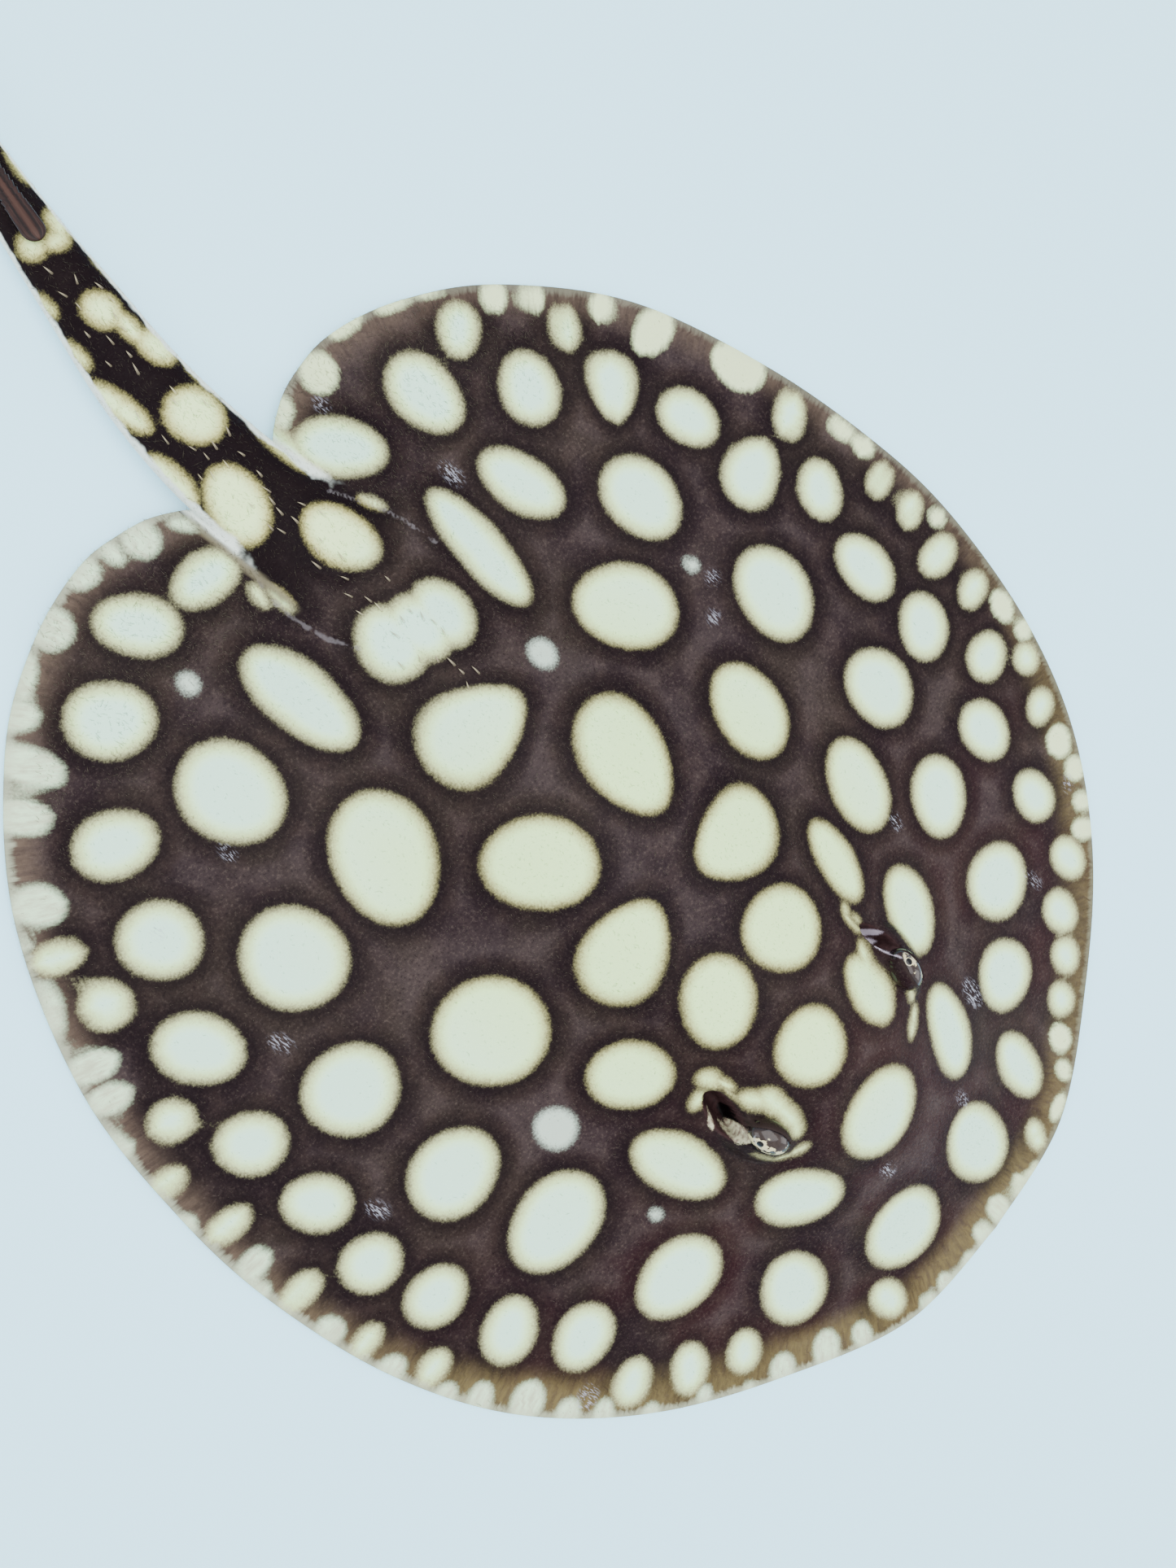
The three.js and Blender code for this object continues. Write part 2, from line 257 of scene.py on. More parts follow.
# %% [markdown]
# ## The head's openings and folds
# A ray's eyes stand on low swellings. Skin comes up over each eyeball from the midline side as a lid and
# leaves a lens-shaped opening outside it. Close behind is the spiracle, the hole that a resting ray
# breathes in through. Each is one more term in the height: a swelling is the larger of the body and an egg,
# a hole is the smaller of the body and a bowl, and a lid is a shell half a millimetre over the eyeball.

# %% Heights of the head
EYE_HALF = (5.4, 7.7, 5.2)  # half the eyeball's size across, along and up
EYE_X, EYE_Y = EYE_X - 1.1, EYE_Y - 0.8  # the lens sits a little inside and ahead of the eyeball's middle
BROW_AT, BROW_HALF = (34.8, -77.5, 18.5), (11.5, 15.5, 11.0)
HOLE_AT, HOLE_HALF, HOLE_TURN = (40.2, -64.6), (4.5, 9.6), -0.2
OPEN_RIGHT, OPEN_LEFT = (1.7, 4.2, 8.1), (1.3, 2.5, 6.8)  # each opening's middle, half width and half length
LEFT_HOLE_AT, LEFT_HOLE_HALF = (37.4, -66.3), (2.9, 7.8)  # the left spiracle is nearly shut


# %% Places in the head's openings
def about_hole(x, y):
    """How far a place is from the spiracle's middle, along and across, as shares of its half size."""
    left = x > 0
    dx = np.abs(x) - np.where(left, LEFT_HOLE_AT[0], HOLE_AT[0])
    dy = y - np.where(left, LEFT_HOLE_AT[1], HOLE_AT[1])
    c, s = np.cos(HOLE_TURN), np.sin(HOLE_TURN)
    half_along = np.where(left, LEFT_HOLE_HALF[1], HOLE_HALF[1])
    half_across = np.where(left, LEFT_HOLE_HALF[0], HOLE_HALF[0])
    return (dy * c + dx * s) / half_along, (dx * c - dy * s) / half_across


def opening_of(x, y):
    """0 in the middle of the lens opening and 1 on its edge, with pointed ends like the corners of lids."""
    along, across = about(x, y, (EYE_X, EYE_Y))
    middle, half, long = (np.where(x > 0, left, right) for left, right in zip(OPEN_LEFT, OPEN_RIGHT))
    return np.sqrt((np.abs(along) / long) ** 1.6 + ((across - middle) / half) ** 2)


# %% The head's relief
def head_height(x, y, base):
    """The body's height with the brows, spiracles, lids and sockets worked in."""
    along, across = about(x, y, BROW_AT)
    swell = np.hypot(along / BROW_HALF[1], across / BROW_HALF[0])
    brow = BROW_AT[2] - SKIN_DEPTH + BROW_HALF[2] * np.sqrt(np.clip(1 - swell**2, 0, 1))
    height = soft_max(base, brow - 24 * ease(0.95, 1.6, swell), 5)
    along, across = about_hole(x, y)
    ring = np.hypot(along, across)
    crest = 1.5 * bump(ring - 1.15, 0.26) * ease(0.4, -0.7, across)
    floor_height = np.where(x > 0, 17, 12) + np.where(x > 0, 5, 9) * ease(-0.3, 1.0, across)
    floor_height = floor_height + 2.5 * ease(0.2, 1.0, np.abs(along))
    folds = 1.3 * bump(np.sin(5.2 * along + 1.1 * across + 0.4), 0.45) * ease(0.0, 0.5, across)
    height = height + crest
    height = height + (np.minimum(floor_height + folds, height) - height) * ease(1.06, 0.8, ring)
    along, across = about(x, y, (EYE_X, EYE_Y))
    ball = np.hypot(along / EYE_HALF[1], across / EYE_HALF[0])
    dome = EYE_Z + EYE_HALF[2] * np.sqrt(np.clip(1 - ball**2, 0, 1))
    lidded = np.where(ball < 1.0, np.maximum(height, dome + 0.45), height)
    lidded = height + (lidded - height) * ease(1.3, 0.96, ball)
    opening = opening_of(x, y)
    lidded = lidded + 0.35 * bump(opening - 1.12, 0.13) * (ball < 1.5)
    return lidded + (np.minimum(dome - 0.9, lidded) - lidded) * ease(1.05, 0.92, opening)


# %% The creases beside the tail
CREASES = [  # the folds where the disc meets the tail's root, as points along each
    [(-18, 158), (-20.5, 148), (-20.5, 138), (-18, 128), (-14, 120)],
    [(14, 158), (19.5, 148), (23.5, 139), (25.5, 131), (26, 126)],
]


def line_distance(x, y):
    """The distance from places to the nearest crease."""
    nearest = np.full(np.shape(x), 99.0)
    for points in CREASES:
        for (ax, ay), (bx, by) in zip(points, points[1:]):
            along = (x - ax) * (bx - ax) + (y - ay) * (by - ay)
            share = np.clip(along / ((bx - ax) ** 2 + (by - ay) ** 2), 0, 1)
            nearest = np.minimum(nearest, np.hypot(x - ax - share * (bx - ax), y - ay - share * (by - ay)))
    return nearest


def skin_top(x, y, out):
    """Height of the finished back: the body and the head's details, less the creases beside the tail."""
    return head_height(x, y, top_height(x, y, out)) - 0.7 * bump(line_distance(x, y), 1.5)


# %% [markdown]
# ## The underside
# The mouth and gills of a ray are under it. The mouth is a slit across, with a fringed curtain of skin in
# front that runs between the nostrils. Five short gill slits stand on each side behind it, and the vent is
# between the pelvic fins. All of it is cut upwards into the belly, because the belly lies on the floor.

# %% Grooves of the underside
GILLS = [(37, -78, 8), (38, -67, 8.5), (36.5, -56, 8.5), (33, -45.5, 8), (28, -36, 6.5)]  # x, y, length


def groove(x, y, at, length, width, turn=0.0):
    """1 along a short line and 0 a width away from it, turned by turn degrees from the x axis."""
    c, s = np.cos(np.radians(turn)), np.sin(np.radians(turn))
    dx, dy = x - at[0], y - at[1]
    along, across = dx * c + dy * s, dy * c - dx * s
    beyond = np.maximum(np.abs(along) - length / 2, 0)
    return bump(np.hypot(across, beyond), width)


def under_relief(x, y):
    """How deep the grooves are cut, in millimetres, and how dark they are inside."""
    ax = np.abs(x)
    bow = y + 0.010 * x**2
    mouth = groove(x, bow, (0, -104), 27, 1.5)
    lips = groove(x, bow, (0, -104), 31, 5.5)
    curtain = groove(x, bow, (0, -109.5), 26, 1.1) + groove(ax, y, (14.5, -114), 9, 1.2, 68)
    nostril = groove(ax, y, (15.5, -119), 4, 1.5, 40)
    gills = 0
    for k, (gx, gy, length) in enumerate(GILLS):
        gills = gills + groove(ax, y + 0.02 * (ax - gx) ** 2, (gx, gy), length, 1.0, 14 - 9 * k)
    vent = groove(x, y, (0, 119), 9, 1.6, 90)
    dark = np.clip(mouth + 0.7 * nostril + 0.75 * gills + 0.6 * vent, 0, 1)
    deep = 1.5 * mouth + 0.8 * curtain + 1.2 * nostril + 1.1 * np.minimum(gills, 1) + 1.2 * vent
    return deep + 0.5 * lips, dark


def skin_under(x, y, out):
    """Height of the finished underside: the flat belly plus the depth of its grooves."""
    return under_height(x, y, out) + under_relief(x, y)[0] * ease(0.8, 0.7, out)


# %% [markdown]
# ## One skin
# The disc is a grid: columns run round the rim and rings run out from the midline over the back, round the
# thin edge and back in underneath. The columns and rings are packed closer over the head, where the detail
# is. The tail is a tube on its own route and the pelvic fins are two flat lobes. The three shapes overlap,
# so a boolean union makes one closed surface of them, and a little smoothing turns the crease where they
# meet into a soft fold. A voxel remesh would do it too, but it would eat the thin rim of the fins.


# %% Mesh helpers
def mesh_object(name, places, faces):
    """An object from an array of places in millimetres and an array of faces of three or four corners."""
    mesh = bpy.data.meshes.new(name)
    faces = np.asarray(faces, np.int32)
    mesh.vertices.add(len(places))
    mesh.vertices.foreach_set("co", (np.asarray(places) * MM).astype(np.float32).ravel())
    mesh.loops.add(faces.size)
    mesh.loops.foreach_set("vertex_index", faces.ravel())
    mesh.polygons.add(len(faces))
    mesh.polygons.foreach_set("loop_start", np.arange(len(faces), dtype=np.int32) * faces.shape[1])
    mesh.update(calc_edges=True)
    mesh.validate()
    made = bpy.data.objects.new(name, mesh)
    scene.collection.objects.link(made)
    return made


def places_of(mesh):
    """The places of a mesh's vertices, in millimetres."""
    co = np.empty(len(mesh.vertices) * 3, np.float32)
    mesh.vertices.foreach_get("co", co)
    return co.reshape(-1, 3).astype(float) / MM


def move_to(mesh, places):
    """Moves a mesh's vertices to places in millimetres."""
    mesh.vertices.foreach_set("co", (places * MM).astype(np.float32).ravel())
    mesh.update()


# %% Faces and shading
def tube_faces(rings, count):
    """Quads of a tube of rings of count places, one closed loop each."""
    ring, k = np.meshgrid(np.arange(rings - 1), np.arange(count), indexing="ij")
    after = (k + 1) % count
    quads = [ring * count + k, ring * count + after, (ring + 1) * count + after, (ring + 1) * count + k]
    return np.stack(quads, -1).reshape(-1, 4)


def capped_tube(rings, count):
    """Triangles of a tube of rings with a fan at each end, whose two tips are the last two places."""
    quads = tube_faces(rings, count)
    k = np.arange(count)
    after, total = (k + 1) % count, rings * count
    last = total - count
    first_fan = np.stack([np.full_like(k, total), after, k], -1)
    last_fan = np.stack([np.full_like(k, total + 1), last + k, last + after], -1)
    return np.concatenate([quads[:, [0, 1, 2]], quads[:, [0, 2, 3]], first_fan, last_fan])


def beside(route):
    """The level direction at right angles to a route, at each of its places."""
    ahead = np.gradient(route, axis=0)
    ahead /= np.linalg.norm(ahead, axis=1, keepdims=True)
    return np.stack([ahead[:, 1], -ahead[:, 0]], -1)


def shade_smooth(mesh):
    """Shades a mesh as one smooth surface."""
    mesh.polygons.foreach_set("use_smooth", np.ones(len(mesh.polygons), bool))


def set_attribute(mesh, name, values):
    """Writes one number for each vertex on a mesh, under a name that materials can read."""
    made = mesh.attributes.new(name, "FLOAT", "POINT")
    made.data.foreach_set("value", np.asarray(values, np.float32))


# %% The disc's grid
COLUMNS, TOP_RINGS, EDGE_RINGS, UNDER_RINGS = 212, 138, 4, 52


def packed(count, start, end, dense):
    """count + 1 numbers from 0 to 1, packed dense times closer between start and end."""
    fine = np.linspace(0, 1, 2001)
    weight = 1 + (dense - 1) * ease(start - 0.1, start, fine) * ease(end + 0.12, end, fine)
    total = np.concatenate([[0], np.cumsum((weight[1:] + weight[:-1]) / 2)])
    return np.interp(np.linspace(0, total[-1], count + 1), total, fine)


columns = packed(COLUMNS, 0.1, 0.27, 2.2)
top_out = packed(TOP_RINGS, 0.12, 0.42, 2.2)
under_out = packed(UNDER_RINGS, 0.0, 0.3, 2.2)[::-1]
share = np.concatenate([columns, columns[-2:0:-1]])
side = np.concatenate([np.ones(COLUMNS + 1), -np.ones(COLUMNS - 1)])
around = len(share)


# %% The disc's rings
def disc_ring(out, height):
    """One ring of the disc's grid, at one distance out and at the heights that a function gives."""
    x, y = disc_place(share, side, out)
    return np.stack([x, y, height(x, y, np.full_like(x, out))], -1)


top = [disc_ring(out, skin_top) for out in top_out]
under = [disc_ring(out, skin_under) for out in under_out]
inner, rim_top, rim_under = disc_ring(0.99, skin_top), top[-1], under[0]
outward = rim_top[:, :2] - inner[:, :2]
outward /= np.maximum(np.linalg.norm(outward, axis=1, keepdims=True), 1e-6)
edge = []
for turn in np.linspace(0, np.pi, EDGE_RINGS + 2)[1:-1]:
    half = (rim_top[:, 2] - rim_under[:, 2]) / 2
    middle = (rim_top[:, 2] + rim_under[:, 2]) / 2
    out_by, up_by = half * np.sin(turn) * 0.8, half * np.cos(turn)
    swing = np.concatenate([outward * out_by[:, None], up_by[:, None]], 1)
    edge.append(np.concatenate([rim_top[:, :2], middle[:, None]], 1) + swing)
rings = np.array(top + edge + under)
faces = tube_faces(len(rings), around)
# The first and last rings lie folded on the midline, so the two sides there share their places.
index = np.arange(len(rings) * around)
mirror = (around - np.arange(around)) % around
for ring in (0, len(rings) - 1):
    first = np.minimum(np.arange(around), mirror)
    index[ring * around : (ring + 1) * around] = ring * around + first
used, renumbered = np.unique(index, return_inverse=True)
disc_places = rings.reshape(-1, 3)[used]
disc = mesh_object("disc", disc_places, renumbered[faces][:, ::-1])
print("disc:", len(disc.data.vertices), "places")

# %% The tail's tube and the pelvic fins
TAIL_AROUND, TAIL_STEPS = 48, 210
t = 1.45 + (len(TAIL) - 1 - 1.45) * packed(TAIL_STEPS, 0.0, 0.45, 1.5)
route = through(TAIL, t)
sideways = beside(route[:, :2])
turn = np.linspace(0, 2 * np.pi, TAIL_AROUND, endpoint=False)
tuck = 0.9 + 0.1 * ease(110, 140, route[:, 1])
half = (route[:, 2] - SKIN_DEPTH * ease(0, 5, route[:, 2])) * tuck
high = (route[:, 3] - SKIN_DEPTH * ease(0, 5, route[:, 3])) * tuck
place = route[:, None, :2] + sideways[:, None] * (half[:, None] * np.sin(turn))[..., None]
z = np.maximum(route[:, None, 4] + high[:, None] * np.cos(turn), 0.08)
tube = np.concatenate([place, z[..., None]], -1)
ends = [np.append(route[k, :2], route[k, 4]) for k in (0, -1)]
tail_faces = capped_tube(TAIL_STEPS + 1, TAIL_AROUND)
tail = mesh_object("tail", np.concatenate([tube.reshape(-1, 3), ends]), tail_faces)

PELVIC = [
    (2, 113), (21, 113), (30, 131), (29, 148), (24.5, 160), (18, 166), (11, 162), (6, 148), (2, 113),
    (21, 113),
]  # fmt: skip
PELVIC_MIDDLE = np.array([17.0, 140.0])
LOBE_AROUND, LOBE_RINGS = 72, 12


def pelvic_fin(name, sign):
    """A flat lobe with a rounded edge, thicker at its root, where it goes into the body."""
    outline = through(PELVIC, np.linspace(1, 9, LOBE_AROUND, endpoint=False)) - PELVIC_MIDDLE
    reach = np.sin(np.linspace(0.06, np.pi - 0.06, 2 * LOBE_RINGS))
    above = np.linspace(1, -1, 2 * LOBE_RINGS) > 0
    xy = PELVIC_MIDDLE + outline * reach[:, None, None]
    root = 5.5 * bump(np.hypot((xy[..., 0] - 8) * 0.7, xy[..., 1] - 122), 10)
    thick = 2.5 * np.sqrt(np.clip(1 - reach**2, 0, 1)) ** 0.8
    z = np.where(above[:, None], 0.75 + (thick / 2)[:, None] + root, 0.75 - (thick / 2)[:, None] * 0.5)
    places = np.concatenate([xy * [sign, 1], z[..., None]], -1).reshape(-1, 3)
    x_middle, y_middle = PELVIC_MIDDLE * [sign, 1]
    tips = [[x_middle, y_middle, z[0].mean()], [x_middle, y_middle, z[-1].mean()]]
    return mesh_object(name, np.concatenate([places, tips]), capped_tube(2 * LOBE_RINGS, LOBE_AROUND))


lobes = [pelvic_fin("pelvic left", 1), pelvic_fin("pelvic right", -1)]


# %% The union
def face_outward(made):
    """Turns the faces so that they agree with each other and face out of the closed shape."""
    work = bmesh.new()
    work.from_mesh(made.data)
    bmesh.ops.remove_doubles(work, verts=work.verts, dist=1e-7)
    bmesh.ops.recalc_face_normals(work, faces=work.faces)
    work.to_mesh(made.data)
    open_edges = sum(not edge.is_manifold for edge in work.edges)
    volume = work.calc_volume(signed=True) / MM**3
    work.free()
    print(f"{made.name}: {len(made.data.vertices)} places, {open_edges} open edges, {volume / 1000:.1f} cm3")


for made in (disc, tail, *lobes):
    face_outward(made)
skin = disc
before = np.concatenate([places_of(made.data) for made in (disc, tail, *lobes)])
for made in (tail, *lobes):
    cut = skin.modifiers.new("union", "BOOLEAN")
    cut.operation = "UNION"
    cut.solver = "MANIFOLD"
    cut.object = made
joined = bpy.data.meshes.new_from_object(skin.evaluated_get(bpy.context.evaluated_depsgraph_get()))
skin.modifiers.clear()
skin.data = joined
skin.name = "skin"
for made in (tail, *lobes):
    bpy.data.objects.remove(made)
face_outward(skin)
shade_smooth(joined)
triangles = sum(len(p.vertices) - 2 for p in joined.polygons)
print("the skin has", triangles, "triangles")

# %% Soften where the shapes meet
edges = np.empty(len(joined.edges) * 2, np.int32)
joined.edges.foreach_get("vertices", edges)
edges = edges.reshape(-1, 2)
places = places_of(joined)
count = len(places)
degree = np.bincount(edges.ravel(), minlength=count)[:, None]


def around_mean(values):
    """The mean of each place's neighbours."""
    total = [
        np.bincount(edges[:, 0], values[edges[:, 1], k], count)
        + np.bincount(edges[:, 1], values[edges[:, 0], k], count)
        for k in range(values.shape[1])
    ]
    return np.stack(total, -1) / degree


def key(values):
    """One whole number for each place, the same for places within a hundredth of a millimetre."""
    whole = np.round(values * 100).astype(np.int64) + 100000
    return (whole[:, 0] * 400000 + whole[:, 1]) * 400000 + whole[:, 2]


WIDEN_ROUNDS, SOFTEN_ROUNDS = 9, 14
new = ~np.isin(key(places), key(before))
weight = (new & (places[:, 1] > 100)).astype(float)[:, None]
print("places along the joins:", int(weight.sum()))
for _ in range(WIDEN_ROUNDS):
    weight = np.maximum(weight, 0.88 * around_mean(weight) / np.maximum(around_mean(weight).max(), 0.5))
for _ in range(SOFTEN_ROUNDS):
    places = places + 0.6 * weight * (around_mean(places) - places)
places[:, 2] = np.maximum(places[:, 2], 0.02)
move_to(joined, places)

# %% [markdown]
# ## Where the markings are
# The spots of this species differ from one animal to the next, and they are its most telling feature: large
# and round along the back, smaller outward, and running out over the rim. They could be a cell noise, but
# then no two would stand where they do on this animal. So each is an egg with a place, a length, a width
# and a turn in the body's own frame. The skin's places each keep their distance to the nearest spot's edge,
# and the material turns that distance into the pale spot, its dark halo and the ground.

# %% The spots: x, y, length, width, turn from +Y towards +X, and how much narrower the far end is
BACK = [
    (-6, 114, 24, 21, 0), (2.8, 111.6, 23, 20.2, -18), (11.5, 109.5, 23, 19, 0),
    (-8, 79, 35.5, 27.5, 98, 0.3), (18.8, 40.2, 40.5, 28.5, 16, -0.2), (-23.2, 37.2, 34.5, 29, -36),
    (26, -3.5, 34, 27, 103, -0.2), (-24.6, -1, 35, 26.5, 69, 0.25), (-16, -34, 30.5, 24.5, 36),
    (15, -34.5, 30, 27, -43), (-5.7, -68.5, 27, 25.5, 20), (-4.2, -107, 33.5, 29, 74),
]  # fmt: skip

# %% Spots of the right side
RIGHT = [
    (-51, -32.5, 28, 23, -40), (-70, 9.6, 36, 35, 0), (-53, 71, 42, 31, 25), (-93, 69, 33, 31, 0),
    (-69.5, 116.5, 34, 28.5, 0), (-35.6, 121.6, 41, 20, -4), (-42.1, -109.2, 31, 22, -44),
    (-65.5, -135.5, 29, 24.5, 20), (-61.3, -68, 36.5, 20.5, -13), (-88, -98, 33, 26, 96),
    (-100.3, -51, 36, 28.5, 84), (-110, -14, 31.5, 27, 80), (-111, 28.5, 30, 28.5, 90),
    (-142, 39.3, 22, 20, -42), (-143, 11.5, 22.5, 18.5, -32), (-146.8, -14.5, 20.5, 19, 90),
    (-142, -38, 22, 19, 92), (-136, -65, 24, 18.5, 60), (-122.5, -86.5, 24, 20.5, 70),
    (-108.5, -125.5, 20.5, 14, 42), (-124, -112, 19, 14, 58), (-92.6, -137.8, 17.5, 13.5, 40),
    (-130.8, 70.8, 27.5, 21.5, -32), (-151.5, 61.5, 15.5, 13.5, 110), (-138.3, 99, 16.5, 15.5, -45),
    (-114.5, 101, 24.5, 23.5, -45), (-102.7, 129.3, 25, 20, 112), (-77.5, 155, 25.5, 23, -50),
    (-52, 168.5, 25, 18.5, -38), (-29, 164.6, 22, 15.5, 100), (-24.2, -154.3, 33, 30, 90),
]  # fmt: skip

# %% Spots of the left side
LEFT = [
    (36, 115.5, 45, 17, 4), (61.5, 120, 31, 18.5, -14), (57.5, 69.5, 36.5, 28, -40),
    (88, 90, 31, 25, 0), (99.8, 35.6, 34.5, 27.5, 14), (62, 16.8, 34, 26.5, 14),
    (73, -30.3, 34, 24, 20), (105.2, -14.8, 29.5, 26, 5), (46.5, -38.5, 32, 15.5, 13),
    (55.2, -73.5, 32, 21.5, 25), (94.3, -58, 29, 24, 38), (89.5, -98, 28.5, 27.5, 90),
    (67, -123.5, 26.5, 26, 20), (34.6, -114, 35.5, 20.5, 24), (16, -157, 35, 26.5, 5),
    (48, -152.5, 30.5, 18, 6), (27, 165.2, 29, 20, -40), (59.5, 160, 28.5, 21, 0),
    (82.6, 167, 20, 14, 50), (86, 139, 25, 20, 30), (110, 145, 17, 11, 42),
    (107.8, 121, 24.5, 17.5, 40, -0.3), (120.8, 96.8, 23, 19.5, -16), (124.5, 68.8, 27, 21, 75, 0.15),
    (132.8, 17, 27, 20, 0), (139.8, 47.3, 22.5, 17.5, 40), (134.8, -13.6, 24.5, 21, 40),
    (126, -57, 24, 20.5, 0), (124, -89.7, 21, 18, 0), (146.5, -40, 20, 17, 80),
]  # fmt: skip

# %% Small spots near the rim, and those that are open to it
OUTER = [
    (150.5, 72.5, 19.5, 13, 55), (160.5, 33.5, 15.5, 10.5, 78), (162, 18, 15.5, 11, 68),
    (158.5, -1, 20, 13.5, 90), (160.5, -19.5, 17, 12, 82), (159, -53, 13, 12.5, 40),
    (150.5, -69.5, 15.5, 12.5, 80), (118.5, -117.5, 19, 15.5, -10), (101.5, -128.5, 19, 16, -5),
    (91.5, -142, 16, 14, 0), (78.5, -152, 15, 13.5, 0), (35, -179, 15, 9.5, 15),
    (-46, -170.5, 18.5, 14, 0), (-137, 118.5, 17, 10.5, 118), (-164.5, 27, 17, 10, 97),
    (-166.5, -4, 17, 10.5, 91), (-166, -31, 14.5, 9, 84), (-166, 49.5, 14, 9.5, 100),
    (-159.5, -54, 14.5, 10.5, 80),
]  # fmt: skip
OPEN = [
    (22, 184, 12, 8, 60), (40, 185.5, 14, 12, 30), (57, 191, 14, 8, 90), (72, 185.5, 12, 5, 110),
    (84, 180.5, 10, 3, 120), (99.5, 167, 12, 9, 45), (109, 158.5, 11, 8, 45), (125, 141.5, 12, 9, 45),
    (133, 124.5, 20, 13, 80), (148.5, 96.5, 21, 18, -20), (162, 57, 9, 9, 0), (164.5, 46, 10, 9, 0),
    (168.5, 8.5, 8, 8, 0), (165.5, -32.5, 13, 10, 20), (166, -45, 8, 9, 0), (147, -84.5, 13, 12, 40),
    (145, -97, 10, 10, 0), (138.5, -108, 10, 8, -45), (131.5, -115.5, 12, 9, -45),
    (68, -162, 13, 10, 0), (60.5, -172, 10, 7, 0), (49, -180, 12, 7, 75), (25.5, -188.5, 7, 7, 0),
    (17.5, -187.5, 12, 7.5, 0), (5.5, -186, 14, 10, 0), (-5, -187.5, 13, 8, 0), (-16, -190, 9, 9, 0),
    (-27.5, -188, 12, 8, 0), (-37, -186.5, 10, 7, 0), (-61.5, -172, 12, 8, 20),
    (-73.5, -164, 16, 11, 35), (-88.5, -155, 13, 10, 40), (-101.5, -150, 8, 5, 40),
    (-112, -137, 8, 6, 45), (-128, -125.5, 9, 7, 50), (-138, -112, 13, 8, 50),
    (-145, -101.5, 13, 9, 60), (-149.5, -87, 15, 12, 60), (-158, -73.5, 12, 9, 60),
    (-164, -63.5, 10, 8, 70), (-168, -43.5, 11, 9.5, 90), (-170, -19.5, 10, 10, 90), (-173, 6, 7, 7, 0),
    (-168.5, 13, 13, 9, 90), (-172, 37, 8, 8, 0), (-166, 67.5, 9, 8, 0), (-158, 79, 15, 9, 115),
    (-154, 89.5, 17, 10, 116), (-152, 105, 8, 8, 0), (-146.5, 113, 9, 8, 0), (-139.5, 128, 6, 5, 0),
    (-129.5, 132.5, 17, 12.5, -40), (-114, 153, 18, 11, -37), (-102, 161.5, 21, 11.5, -25),
    (-94, 174, 14, 10, -45), (-84, 180, 14, 7, 55), (-69.5, 184.5, 14, 13, 0), (-52, 189.5, 10, 11, 0),
    (-42, 188, 9, 6, 0), (-33.5, 185, 12, 11, 0), (-21, 179, 12, 5, -40),
]  # fmt: skip

# %% Spots of the tail
ON_TAIL = [
    (6.2, 146, 25.5, 17.5, -10), (-8, 172.5, 25, 17.5, 17), (2.5, 198.5, 18.5, 17, 0),
    (5.5, 236, 12.5, 11, 0), (7.5, 228, 13, 6.5, 0), (9.6, 219.6, 13, 10.5, 0), (5, 260.5, 10, 8.5, 60),
    (11, 257.5, 9, 6.5, 90), (15, 261, 10, 7, 20), (13.8, 206, 16, 6.5, 0), (15.5, 178, 26, 9, 0),
    (15.2, 243.5, 11, 3, 0), (19, 279, 12, 5, 15), (-4.5, 247, 9, 4, 0), (-8.5, 232, 11, 4.5, 0),
    (-11, 214, 22, 8, -8), (-15.5, 190, 20, 8, 0), (9, 287, 10, 6, 20), (20, 306, 9, 6, 20),
    (24, 324, 8, 9, 25), (38, 350, 7, 8, 35), (54, 378, 7, 6, 40), (21, 147, 9, 4, -25),
    (-22.5, 150.5, 9, 5, 10), (-19, 145.5, 11, 4.5, 0),
]  # fmt: skip

# %% Marks of the head, faint spots and scuffs
EYE_MARKS = [  # the marks on the brows, behind the spiracles and along the lower lids
    (-30.3, -67.5, 11, 7.5, -30), (-26.5, -73, 14, 9, -5), (-26.3, -80, 14, 8, 0),
    (-27.2, -85.5, 9, 6.5, 25), (-33.8, -61.5, 8, 1.8, -10), (-35.3, -51.5, 9, 7.5, -30),
    (-33, -56.5, 9, 4.2, -15), (-42.2, -55, 8.5, 6, 70), (-41.2, -84.5, 9, 1.6, -20),
    (-36.8, -91, 8, 3.0, -48), (-31.5, -93.5, 8, 4.0, -75), (22, -73.7, 26.5, 17, 10),
    (28.6, -66.5, 14, 6, 33), (25.8, -95.8, 12.5, 4.6, 65), (32.2, -88, 8, 4.2, 20),
    (36, -50.5, 6, 4, 40), (34.3, -55, 9, 3, 5), (36.8, -56, 4.5, 3, 0),
]  # fmt: skip
FAINT = [
    (-54.5, 147, 7, 6, 0), (24.8, 79.6, 10, 9, 0), (-78.7, -28.3, 14.5, 13.5, 0), (-78, -75.5, 5, 4, 0),
    (84.5, 63, 6, 5, 0),
]  # fmt: skip
FOLDS = [  # pale folds of lining inside the spiracles
    (-45, -64.8, 10, 2.4, 47), (-42.8, -71.5, 7, 1.8, 17), (-40.6, -73.2, 5.4, 3.4, 34),
    (37.9, -65, 7, 2.8, -43), (36, -68, 6.5, 2.2, -43), (34.8, -71.2, 8, 2.6, -20),
]  # fmt: skip
PIT_SHADE = [(-37.6, -70.3, 8, 5.4, 20)]  # painted shade: the unlit depth of the open right spiracle, painted near black
SCUFFS = [
    (47, 137, 9, 5, 0), (33, 178, 6, 4, 20), (-114, 54, 8, 5, -20), (-133, -4, 8, 5, -10),
    (101, -110, 10, 4, -10), (52, -115, 12, 7, 10), (-15, -128, 7, 5, 0), (22, -137, 8, 4, 0),
    (87, 55, 6, 5, 60), (77, 46, 6, 4, 60), (74.5, -50, 7, 4, 20), (-83, 105, 6, 4, 0),
    (-113, 103, 8, 4, 60), (139, -98, 8, 4, 60), (-137, -103, 10, 7, 60),
]  # fmt: skip


